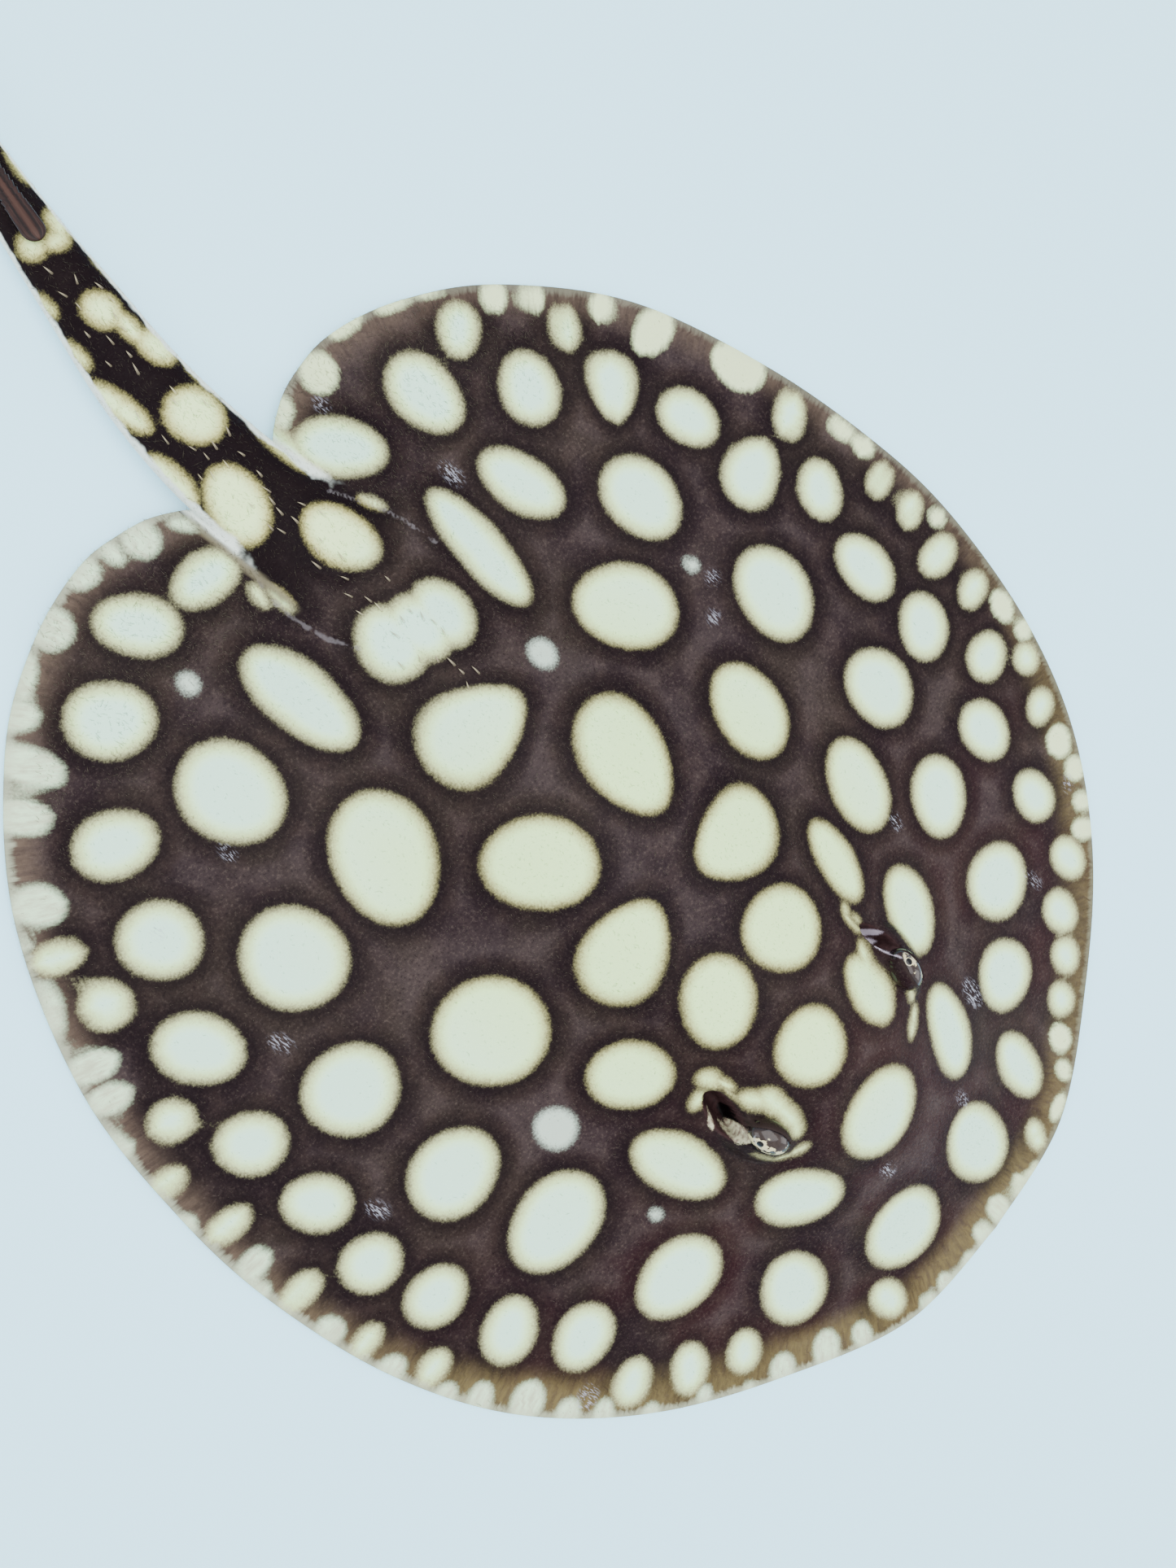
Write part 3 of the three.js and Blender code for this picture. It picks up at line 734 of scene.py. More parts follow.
# %% Distance to the spots
def spot_rows(*groups):
    """Rows of all the groups in one array. A missing sixth number is 0: the far end isn't narrower."""
    rows = [row if len(row) == 6 else (*row, 0) for group in groups for row in group]
    return np.array(rows, float)


FAR = 30.0  # a place with no spot near it counts as this far from one
BLEND = 0.8  # spots nearer than this to each other run together


def distance_to(rows, x, y, seed=3):
    """The distance, in millimetres, from places to the nearest egg's edge, below 0 inside it. For an ellipse
    r is the place over the two half lengths, and the distance is near r - 1 over the slope of r."""
    chance = np.random.default_rng(seed)
    nearest = np.full(x.shape, FAR)
    for cx, cy, length, width, turn, egg in rows:
        c, s = np.cos(np.radians(turn)), np.sin(np.radians(turn))
        phase = chance.uniform(0, 2 * np.pi, 2)
        close = np.hypot(x - cx, y - cy) < length / 2 + 20
        dx, dy = x[close] - cx, y[close] - cy
        u, v = dx * s + dy * c, dx * c - dy * s
        v = v / (1 - egg * np.clip(2 * u / length, -1, 1))
        angle = np.arctan2(v, u)
        lobes = 1 + 0.012 * np.sin(2 * angle + phase[0]) + 0.016 * np.sin(3 * angle + phase[1])
        a, b = length / 2 * lobes, width / 2 * lobes
        r = np.hypot(u / a, v / b)
        slope = np.maximum(np.hypot(u / a**2, v / b**2), 1e-4)
        far = r * (r - 1) / slope
        near = nearest[close]
        h = np.clip(0.5 + 0.5 * (far - near) / BLEND, 0, 1)
        nearest[close] = far + (near - far) * h - BLEND * h * (1 - h)
    return nearest


RIM_PLACES = 1300  # a little under one millimetre apart


def rim_line(steps=3000):
    """Places along the whole rim at even steps, starting and ending at the notch over the tail."""
    share = np.concatenate([np.linspace(1, 0, steps), np.linspace(0, 1, steps)[1:]])
    side = np.concatenate([-np.ones(steps), np.ones(steps - 1)])
    x, y = disc_place(share, side, 1.0)
    run = np.concatenate([[0], np.cumsum(np.hypot(np.diff(x), np.diff(y)))])
    even = np.linspace(0, run[-1], RIM_PLACES)
    return np.stack([np.interp(even, run, x), np.interp(even, run, y)], -1)


rim = rim_line()
drawn = spot_rows(BACK, RIGHT, LEFT, OUTER, ON_TAIL, EYE_MARKS)
open_spots = spot_rows(OPEN)
print(len(drawn), "spots,", len(open_spots), "open to the rim")

# %% [markdown]
# ## What every place on the skin knows
# Besides its distance to the spots, a place knows how far it is from the rim, how far round the rim it is
# (for the streaks of the thin margin), whether it is on the back or the belly, and how near it is to the
# eyes, the spiracles and the slits. These are written on the mesh as named numbers. The thorns and
# denticles get the same numbers from the same function, so their colours change where the skin's do.


# %% Numbers for a place on the skin
def rim_numbers(x, y):
    """How far places are from the rim in millimetres, and how far round it in places of the rim line."""
    far, which = np.full(x.shape, 99.0), np.zeros(x.shape, int)
    coarse = rim[::2]
    for start in range(0, len(x), 8000):
        part = slice(start, start + 8000)
        gap = np.hypot(x[part, None] - coarse[:, 0], y[part, None] - coarse[:, 1])
        which[part] = gap.argmin(1)
        far[part] = gap.min(1)
    return far, which * 2.0


def tail_part(x, y, z):
    """How far a place is up the tail's flank, as a share of the tail's half height, and 1 on the tail."""
    middle, half, high, level = tail_at(y)
    off = np.abs(x - middle) / half
    lobe = ease(1.02, 1.07, off) * ease(1.22, 1.14, off) * (x < middle)
    lobe = lobe * ease(138, 146, y) * ease(184, 176, y)
    on_tail = ease(128, 150, y) * ease(1.14, 1.03, off)
    return on_tail, (z - level) / high, lobe


TAIL_FROM_RIM = 130  # the tail counts as this far inside the rim, so it takes none of the rim's streaks
UNDERSIDE_TOP = 4.5  # skin below this height that faces down is the belly's


def place_numbers(places, up):
    """Every named number of places on the skin, from where they are and how far up their normals point."""
    x, y, z = places.T
    far, run = rim_numbers(x, y)
    on_tail, flank, lobe = tail_part(x, y, z)
    lobe = lobe * (up > 0)
    low = (up < 0) & ((z < UNDERSIDE_TOP) | (on_tail > 0.5))
    along, across = about_hole(x, y)
    across_eye = about(x, y, (EYE_X, EYE_Y))[1]
    return {
        "spot": np.clip(distance_to(drawn, x, y), -12, 12),
        "open_spot": np.clip(distance_to(open_spots, x, y), -12, 12),
        "faint": np.clip(distance_to(spot_rows(FAINT), x, y), -6, 6),
        "scuff": np.clip(distance_to(spot_rows(SCUFFS), x, y), -6, 6),
        "rim": np.clip(far, 0, 150) + TAIL_FROM_RIM * on_tail,
        "round": run,
        "tail": on_tail,
        "flank": flank,
        "pelvic": lobe,
        "crease": np.clip(line_distance(x, y), 0, 9) + 9 * low,
        "belly": low.astype(float),
        "slit": under_relief(x, y)[1] * low,
        "hole": np.clip(np.hypot(along, across), 0, 3) + 3 * low,
        "pit_shade": np.clip(distance_to(spot_rows(PIT_SHADE), x, y), -4, 4),
        "fold": np.clip(distance_to(spot_rows(FOLDS), x, y), -4, 4),
        "lid": np.clip(opening_of(x, y), 0, 3) + 3 * low,
        "lid_side": np.clip(across_eye, -9, 9),
    }


# %% Write the numbers on the skin
normals = np.empty(len(joined.vertices) * 3, np.float32)
joined.vertex_normals.foreach_get("vector", normals)
normals = normals.reshape(-1, 3)
for name, values in place_numbers(places, normals[:, 2]).items():
    set_attribute(joined, name, values)
print("numbers written for", len(places), "places")

# %% [markdown]
# ## The skin's colours
# Real skin here is a near-black ground with a fine olive mottle, and the pale spots have fuzzy edges made
# by fine bristles of pigment. A painted texture would fix one size of detail, but noise read from the
# body's own coordinates is sharp at any distance. The noise is added to the distance before it becomes a
# step, and that breaks the edge of each spot into bristles.


# %% Helpers for node materials
class Sheet:
    """Adds nodes to a material. Its methods give back the socket that carries their result."""

    def __init__(self, look):
        """Takes the material whose nodes it adds to."""
        self.tree = look.node_tree

    def node(self, kind, settings=None, inputs=None):
        """A new node. An input is joined if it is a socket, and set if it is a number."""
        made = self.tree.nodes.new(kind)
        for name, value in (settings or {}).items():
            setattr(made, name, value)
        for name, value in (inputs or {}).items():
            if isinstance(value, bpy.types.NodeSocket):
                self.tree.links.new(value, made.inputs[name])
            else:
                made.inputs[name].default_value = value
        return made

    def number(self, name):
        """A number written on the mesh."""
        return self.node("ShaderNodeAttribute", {"attribute_name": name}).outputs["Fac"]

    def place(self, stretch=(1, 1, 1)):
        """Object coordinates in millimetres, stretched."""
        at = self.node("ShaderNodeTexCoord").outputs["Object"]
        scale = tuple(1000 * k for k in stretch)
        return self.node("ShaderNodeMapping", None, {"Vector": at, "Scale": scale}).outputs[0]

    def math(self, how, a, b=0.0, c=0.0):
        """One step of arithmetic on up to three numbers."""
        return self.node("ShaderNodeMath", {"operation": how}, {0: a, 1: b, 2: c}).outputs[0]

    def times(self, a, b):
        """a times b."""
        return self.math("MULTIPLY", a, b)

    def times_plus(self, a, b, c):
        """a times b, plus c."""
        return self.math("MULTIPLY_ADD", a, b, c)

    def minus(self, a, b):
        """a less b."""
        return self.math("SUBTRACT", a, b)

    def step(self, value, start, end, low=0.0, high=1.0):
        """low where value is at start or before it, high from end on, and smooth between."""
        settings = {"interpolation_type": "SMOOTHSTEP"}
        inputs = {"Value": value, "From Min": start, "From Max": end, "To Min": low, "To Max": high}
        return self.node("ShaderNodeMapRange", settings, inputs).outputs[0]

    def noise(self, at, size, detail=2.0, rough=0.5):
        """Noise from 0 to 1 whose blots are about size millimetres wide."""
        inputs = {"Vector": at, "Scale": 1 / size, "Detail": detail, "Roughness": rough}
        return self.node("ShaderNodeTexNoise", None, inputs).outputs["Fac"]

    def mix(self, amount, a, b, how="MIX"):
        """Colour a where amount is 0 and colour b where it is 1."""
        made = self.node("ShaderNodeMix", {"data_type": "RGBA", "blend_type": how}, {0: amount})
        for socket, value in ((made.inputs[6], a), (made.inputs[7], b)):
            if isinstance(value, bpy.types.NodeSocket):
                self.tree.links.new(value, socket)
            else:
                socket.default_value = value
        return made.outputs[2]

    def join(self, x, y, z=0.0):
        """One place from three numbers."""
        return self.node("ShaderNodeCombineXYZ", None, {0: x, 1: y, 2: z}).outputs[0]

    def surface(self, colour, rough, specular):
        """Gives the material's shader its colour, its roughness and how strongly it mirrors."""
        shader = self.tree.nodes["Principled BSDF"]
        self.tree.links.new(colour, shader.inputs["Base Color"])
        shader.inputs["Roughness"].default_value = rough
        shader.inputs["Specular IOR Level"].default_value = specular


# %% The markings as nodes
CREAM, CREAM_WHITE, CREAM_EDGE = srgb(202, 234, 158), srgb(188, 228, 204), srgb(160, 156, 104)
GROUND, GROUND_OLIVE, GROUND_WINE = srgb(30, 20, 23), srgb(41, 33, 29), srgb(46, 21, 24)
NEAR_BLACK, TAIL_GROUND = srgb(13, 6, 9), srgb(13, 5, 8)


def markings(sheet):
    """The colour of the back, from the numbers on the mesh. The coat of denticles uses it too."""
    at = sheet.place()
    fine = sheet.minus(sheet.noise(at, 0.7, 4, 0.75), 0.5)
    medium = sheet.minus(sheet.noise(at, 3.0, 2), 0.5)
    spot = sheet.times_plus(fine, 3.4, sheet.number("spot"))
    spot = sheet.times_plus(medium, 0.9, spot)
    rim, run = sheet.number("rim"), sheet.number("round")
    streak_at = sheet.join(run, sheet.times(rim, 0.22))
    streak = sheet.noise(streak_at, 1.7, 3, 0.6)
    ragged = sheet.times_plus(sheet.minus(streak, 0.5), 2.6, sheet.number("open_spot"))
    ragged = sheet.times_plus(fine, 2.2, ragged)

    mottle = sheet.noise(at, 1.0, 4, 0.7)
    broad = sheet.noise(at, 26, 2)
    ground = sheet.mix(sheet.step(broad, 0.35, 0.68), GROUND, GROUND_OLIVE)
    east, head_end = sheet.node("ShaderNodeSeparateXYZ", None, {0: at}).outputs[:2]
    wine = sheet.step(sheet.noise(at, 34, 2), 0.38, 0.62)
    wine = sheet.times(sheet.step(head_end, 10, -120), wine)
    ground = sheet.mix(sheet.times(wine, 0.6), ground, GROUND_WINE)
    patchy = sheet.step(sheet.noise(at, 9, 3, 0.6), 0.42, 0.68, 0, 0.32)
    ground = sheet.mix(patchy, ground, srgb(62, 49, 44))
    between = sheet.step(sheet.noise(at, 18, 3), 0.35, 0.65, 0.15, 0.6)
    between = sheet.times(between, sheet.step(spot, 4, 9))
    ground = sheet.mix(between, ground, srgb(58, 49, 49))
    ground = sheet.mix(sheet.step(mottle, 0.5, 0.75, 0, 0.35), ground, srgb(96, 84, 76))
    ground = sheet.mix(sheet.step(mottle, 0.46, 0.3, 0, 0.6), ground, NEAR_BLACK)

    wide = sheet.step(sheet.times_plus(sheet.step(head_end, 0, -110), -7, rim), 13, 1)
    margin = sheet.times(wide, sheet.step(streak, 0.2, 0.75, 0.35))
    olive = sheet.mix(sheet.step(head_end, 40, -80), srgb(94, 80, 68), srgb(102, 90, 58))
    margin = sheet.times(margin, sheet.step(east, 0, 90, 0.9, 0.6))
    ground = sheet.mix(margin, ground, olive)
    ground = sheet.mix(sheet.times(sheet.number("tail"), 0.85), ground, TAIL_GROUND)
    bristly = sheet.times_plus(fine, 5.0, spot)
    halo = sheet.math("MAXIMUM", sheet.step(bristly, 5.0, 2.2, 0, 0.72), sheet.step(spot, 9, 3, 0, 0.45))
    halo = sheet.times(halo, sheet.step(head_end, -20, -120, 0.95, 0.6))
    ground = sheet.mix(sheet.times(halo, sheet.step(rim, 2, 14, 0.2)), ground, NEAR_BLACK)
    faint = sheet.times_plus(fine, 4.0, sheet.number("faint"))
    ground = sheet.mix(sheet.step(faint, 1.4, -2.2, 0, 0.85), ground, srgb(184, 200, 184))

    outward = sheet.step(rim, 130, 55, 0.1, 1.0)
    whiter = sheet.times(sheet.step(sheet.number("spot"), -1.5, -7), outward)
    inner = sheet.mix(whiter, CREAM, CREAM_WHITE)
    on_tail = sheet.number("tail")
    inner = sheet.mix(sheet.times(on_tail, 0.8), inner, srgb(214, 236, 172))
    outer = sheet.mix(outward, CREAM_EDGE, srgb(162, 162, 122))
    outer = sheet.mix(on_tail, outer, srgb(176, 170, 108))
    pale = sheet.mix(sheet.step(spot, -5.0, -0.2), inner, outer)
    pale_rim = sheet.mix(sheet.step(streak, 0.3, 0.65), srgb(176, 184, 156), srgb(196, 224, 186))
    left_side = sheet.step(east, -30, 60)
    pale_rim = sheet.mix(left_side, pale_rim, srgb(206, 222, 172))
    colour = sheet.mix(sheet.step(ragged, 1.1, -2.2, 0, 0.95), ground, pale_rim)
    colour = sheet.mix(sheet.step(spot, 1.1, -2.3), colour, pale)
    edge = sheet.step(sheet.times_plus(streak, -4.4, rim), 0.6, -1.6)
    edge = sheet.times(edge, sheet.step(left_side, 0, 1, 0.5, 0.15))
    colour = sheet.mix(edge, colour, srgb(176, 186, 160))
    uneven = sheet.minus(sheet.noise(at, 5, 2), 0.5)
    lower = sheet.times_plus(uneven, 0.32, sheet.number("flank"))
    hairs = sheet.noise(sheet.place((1.6, 0.35, 0.5)), 0.7, 2)
    scuffed = sheet.times(sheet.step(sheet.number("scuff"), 1.5, -2), sheet.step(hairs, 0.5, 0.62))
    colour = sheet.mix(sheet.times(scuffed, 0.6), colour, srgb(158, 160, 172))
    white = sheet.times(sheet.number("tail"), sheet.step(lower, 0.5, 0.36))
    white = sheet.times(white, sheet.step(head_end, 150, 164))
    colour = sheet.mix(white, colour, srgb(206, 216, 206))
    crease = sheet.times_plus(medium, 3.0, sheet.number("crease"))
    colour = sheet.mix(sheet.step(crease, 0.8, 0.1, 0, 0.4), colour, srgb(112, 108, 110))
    return sheet.mix(sheet.times(sheet.number("pelvic"), 0.85), colour, srgb(104, 98, 78))


# %% The skin's material
skin_look, skin_shader = material("ray skin")
sheet = Sheet(skin_look)
at = sheet.place()
colour = markings(sheet)
fine = sheet.noise(at, 0.5, 3, 0.7)
rough_edge = sheet.minus(fine, 0.5)
lid = sheet.times_plus(rough_edge, 0.25, sheet.number("lid"))
band = sheet.times(sheet.step(lid, 1.55, 1.3), sheet.step(sheet.number("lid_side"), 3.0, 1.0))
colour = sheet.mix(band, colour, srgb(38, 29, 27))
colour = sheet.mix(sheet.step(lid, 1.06, 1.0), colour, srgb(16, 12, 12))
hole = sheet.times_plus(rough_edge, 0.3, sheet.number("hole"))
lining = sheet.mix(sheet.noise(at, 1.6, 3), srgb(24, 15, 16), srgb(66, 46, 46))
colour = sheet.mix(sheet.step(hole, 1.12, 0.98), colour, lining)
# Painted shade: the unlit depth of the open right spiracle is painted near black over its lining.
pit_shade = sheet.times(sheet.step(sheet.number("pit_shade"), 0.8, -0.8), sheet.step(hole, 0.98, 0.9))
colour = sheet.mix(pit_shade, colour, srgb(8, 5, 6))
fold = sheet.times_plus(rough_edge, 1.4, sheet.number("fold"))
folded = sheet.times(sheet.step(fold, 0.3, -0.6), sheet.step(hole, 1.3, 1.1))
pinkish = sheet.mix(sheet.step(sheet.noise(at, 1.8, 2), 0.3, 0.7), srgb(128, 112, 98), srgb(204, 202, 166))
east = sheet.node("ShaderNodeSeparateXYZ", None, {0: at}).outputs["X"]
pinkish = sheet.mix(sheet.step(east, -1, 1), pinkish, srgb(176, 166, 178))
colour = sheet.mix(sheet.times(folded, 0.9), colour, pinkish)
belly = sheet.mix(sheet.step(sheet.noise(at, 14, 3), 0.3, 0.7), srgb(226, 222, 212), srgb(212, 200, 190))
dusky = sheet.step(sheet.times_plus(sheet.noise(at, 16, 3), 24, sheet.number("rim")), 38, 20)
dusky = sheet.times(dusky, sheet.step(sheet.number("tail"), 1, 0))
belly = sheet.mix(sheet.times(dusky, 0.85), belly, srgb(92, 78, 74))
near_spot = sheet.step(sheet.number("open_spot"), 1.5, -1)
belly = sheet.mix(sheet.times(near_spot, 0.7), belly, srgb(200, 194, 178))
belly = sheet.mix(sheet.times(sheet.number("slit"), 0.85), belly, srgb(104, 62, 56))
colour = sheet.mix(sheet.number("belly"), colour, belly)
sheet.surface(colour, rough=0.42, specular=0.04)
bumps = sheet.times_plus(sheet.noise(at, 0.7, 3, 0.6), 0.6, sheet.noise(at, 2.4, 2))
bumped = {"Strength": 0.35, "Distance": 0.0006, "Height": bumps}
sheet.tree.links.new(sheet.node("ShaderNodeBump", None, bumped).outputs[0], skin_shader.inputs["Normal"])
joined.materials.clear()
joined.materials.append(skin_look)
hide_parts(*[node for node in sorted(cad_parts) if not node.startswith(("eye_", "sting"))])
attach(skin, "root")

# %% [markdown]
# ## The eyes
# Each eyeball is a smooth egg in its own socket. A ray's iris is as patterned as its back, here marbled
# cream and brown, and the pupil is small in bright light. The two eyes of this animal look different ways:
# the right one outward, the left one more upward. The iris could be a flat disc behind a clear dome, but at
# this size one surface does it: the pattern is drawn by distance from the pupil, with a wet coat on top.

# %% Eyeballs
EYE_AROUND, EYE_RINGS = 96, 72


def eyeball(name, sign, look_across, look_along):
    """An egg whose places know how far they are from the pupil. The point where the eye looks is given as
    a distance across and along from the eye's middle."""
    lift = np.linspace(0.02, np.pi - 0.02, EYE_RINGS)[:, None]
    turn = np.linspace(0, 2 * np.pi, EYE_AROUND, endpoint=False)
    wide = np.sin(lift)
    sphere = np.stack([wide * np.cos(turn), wide * np.sin(turn), np.cos(lift) + 0 * turn], -1)
    sphere = np.concatenate([sphere.reshape(-1, 3), [[0, 0, 1], [0, 0, -1]]])
    across, along, up = (sphere * EYE_HALF).T
    c, s = np.cos(TURN), np.sin(TURN)
    x = sign * (EYE_X + across * c + along * s)
    y = EYE_Y + along * c - across * s
    made = mesh_object(name, np.stack([x, y, EYE_Z + up], -1), capped_tube(EYE_RINGS, EYE_AROUND))
    face_outward(made)
    shade_smooth(made.data)
    here = places_of(made.data)
    along, across = about(here[:, 0], here[:, 1], (EYE_X, EYE_Y))
    height = EYE_HALF[2] * np.sqrt(1 - (look_across / EYE_HALF[0]) ** 2 - (look_along / EYE_HALF[1]) ** 2)
    gap = [across - look_across, along - look_along, here[:, 2] - EYE_Z - height]
    set_attribute(made.data, "pupil", np.sqrt(sum(g**2 for g in gap)))
    set_attribute(made.data, "bearing", np.arctan2(gap[1], gap[0]))
    set_attribute(made.data, "opening", opening_of(here[:, 0], here[:, 1]))
    set_attribute(made.data, "outward", across)
    return made


eyes = [eyeball("left_eyeball", 1, 0.9, 3.4), eyeball("right_eyeball", -1, 3.4, 3.5)]

# %% The eyes' material
eye_look, eye_shader = material("marbled eye")
sheet = Sheet(eye_look)
at = sheet.place()
pupil, opening = sheet.number("pupil"), sheet.number("opening")
lower_edge = sheet.times(sheet.step(sheet.number("outward"), 1.5, 4), 0.18)
marble = sheet.math("ADD", sheet.noise(at, 2.6, 2, 0.5), lower_edge)
marble = sheet.times_plus(sheet.step(pupil, 3.2, 1.4), 0.2, marble)
iris = sheet.mix(sheet.noise(at, 1.1, 3), srgb(22, 14, 12), srgb(58, 46, 40))
iris = sheet.mix(sheet.step(marble, 0.62, 0.68), iris, srgb(190, 180, 140))
iris = sheet.mix(sheet.step(marble, 0.86, 0.92), iris, srgb(52, 34, 26))
collar = sheet.times_plus(sheet.noise(at, 0.6), 0.5, pupil)
iris = sheet.mix(sheet.step(collar, 1.75, 1.5), iris, srgb(204, 196, 160))
iris = sheet.mix(sheet.step(pupil, 1.25, 1.1), iris, srgb(3, 2, 3))
rings = sheet.math("SINE", sheet.times(opening, 42))
rings = sheet.times(sheet.step(rings, 0.2, 0.9), sheet.step(opening, 0.74, 0.82))
rings = sheet.times(rings, sheet.step(sheet.number("outward"), 1.2, 2.6))
iris = sheet.mix(sheet.times(rings, 0.7), iris, srgb(150, 156, 160))
iris = sheet.mix(sheet.step(opening, 0.86, 1.0), iris, srgb(24, 16, 20))
sheet.surface(iris, rough=0.2, specular=0.15)
eye_shader.inputs["Coat Weight"].default_value = 0.3
eye_shader.inputs["Coat Roughness"].default_value = 0.04
for made, node in zip(eyes, ("eye_left", "eye_right")):
    made.data.materials.append(eye_look)
    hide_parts(node)
    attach(made, "root")

# %% [markdown]
# ## The sting
# The sting is a flat blade of horn that lies along the top of the tail. Its two edges carry rows of barbs
# that point back towards the body, and two grooves run along it beside a low ridge. The barbs are made in
# the outline itself: the half width is a saw-tooth added to a long taper.

# %% The sting's blade
sting_low, sting_high = (np.array(corner[:]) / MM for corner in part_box("sting"))
STING_START, STING_LENGTH, STING_WIDE, STING_THICK = sting_low[1] + 0.3, 63.5, 7.0, 2.5
STING_STEPS, STING_AROUND = 360, 32
u = np.linspace(0, 1, STING_STEPS)
run = np.concatenate([[0], np.cumsum(np.hypot(*np.diff(TAIL_TABLE[:, :2], axis=0).T))])
start_run = np.interp(STING_START, TAIL_TABLE[:, 1], run)
on_route = [np.interp(start_run + STING_LENGTH * u, run, TAIL_TABLE[:, k]) for k in range(5)]
middle = np.stack(on_route[:2], -1)
sideways = beside(middle)
rounded = np.sqrt(1 - (1 - np.clip(u / 0.055 + 0.01, 0, 1)) ** 2)
taper = np.sqrt(np.clip(1.0 - u**1.25, 0.001, 1)) * rounded
saw = 1 - np.mod(u * 34, 1.0)
half = STING_WIDE / 2 * taper * (1 - 0.2 * saw * ease(0.1, 0.25, u) * ease(1.0, 0.9, u))
thick = STING_THICK / 2 * (0.25 + 0.75 * taper)
turn = np.linspace(0, 2 * np.pi, STING_AROUND, endpoint=False)
c, s = np.cos(turn), np.sin(turn)
flat = np.sign(s) * np.abs(s) ** 0.75
grooves = 0.3 * bump(np.abs(c) - 0.42, 0.14) * (s > 0)
z = on_route[4] + on_route[3] + 0.35 + STING_THICK / 2 + 1.2 * u
place = middle[:, None] + sideways[:, None] * (half[:, None] * c)[..., None]
height = z[:, None] + thick[:, None] * (flat - grooves)
blade = np.concatenate([place, height[..., None]], -1).reshape(-1, 3)
tips = [np.append(middle[k], z[k]) for k in (0, -1)]
sting_faces = capped_tube(STING_STEPS, STING_AROUND)
sting = mesh_object("sting_blade", np.concatenate([blade, tips]), sting_faces)
set_attribute(sting.data, "across", np.concatenate([np.tile(c, STING_STEPS), [0, 0]]))
set_attribute(sting.data, "along", np.concatenate([np.repeat(u, STING_AROUND), [0, 1]]))
face_outward(sting)
shade_smooth(sting.data)

# %% The sting's material
sting_look = material("sting horn")[0]
sheet = Sheet(sting_look)
across, along = sheet.number("across"), sheet.number("along")
grain = sheet.noise(sheet.join(sheet.times(across, 6), sheet.times(along, 8)), 0.7, 3)
horn = sheet.mix(sheet.step(grain, 0.35, 0.65), srgb(26, 13, 12), srgb(44, 27, 23))
ridge = sheet.step(sheet.math("ABSOLUTE", across), 0.34, 0.1)
horn = sheet.mix(sheet.times(ridge, 0.6), horn, srgb(66, 44, 36))
furrow = sheet.minus(sheet.math("ABSOLUTE", across), 0.45)
horn = sheet.mix(sheet.step(sheet.math("ABSOLUTE", furrow), 0.16, 0.04, 0, 0.8), horn, srgb(11, 4, 4))
horn = sheet.mix(sheet.step(along, 0.55, 1.0, 0, 0.5), horn, srgb(120, 98, 74))
sheet.surface(horn, rough=0.45, specular=0.15)
sting.data.materials.append(sting_look)
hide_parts("sting")
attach(sting, "root")
print("sting from", np.round(sting_low, 1), "to", np.round(sting_high, 1))

# %% [markdown]
# ## Thorns and denticles
# The skin of a ray is rough. Down the middle of the tail stand thorns a few millimetres long that lean back,
# and the back is covered with denticles, tiny tooth-like scales that catch the light as short pale hairs.
# A bump would give their shading but not their outline against the tail. So both are meshes: one small
# shape is written once, and arrays place, turn and size thousands of it. A hair system would do the placing
# too, but its strands don't survive a change of program.

# %% Places on the skin for the coat
joined.calc_loop_triangles()
corners = np.empty(len(joined.loop_triangles) * 3, np.int32)
joined.loop_triangles.foreach_get("vertices", corners)
corners = places_of(joined)[corners.reshape(-1, 3)]
crossed = np.cross(corners[:, 1] - corners[:, 0], corners[:, 2] - corners[:, 0])
areas = np.linalg.norm(crossed, axis=1) / 2
face_up = crossed / np.maximum(2 * areas, 1e-9)[:, None]
face_middle = corners.mean(1)


def scatter(count, density, seed):
    """Random roots on the skin with their normals, as many per square millimetre as density says."""
    chance = np.random.default_rng(seed)
    weight = areas * density(face_middle, face_up[:, 2])
    chosen = chance.choice(len(areas), count, p=weight / weight.sum())
    a, b = chance.uniform(0, 1, (2, count))
    a, b = np.where(a + b > 1, 1 - a, a), np.where(a + b > 1, 1 - b, b)
    three = corners[chosen]
    roots = three[:, 0] + (three[:, 1] - three[:, 0]) * a[:, None] + (three[:, 2] - three[:, 0]) * b[:, None]
    return roots, face_up[chosen], chance


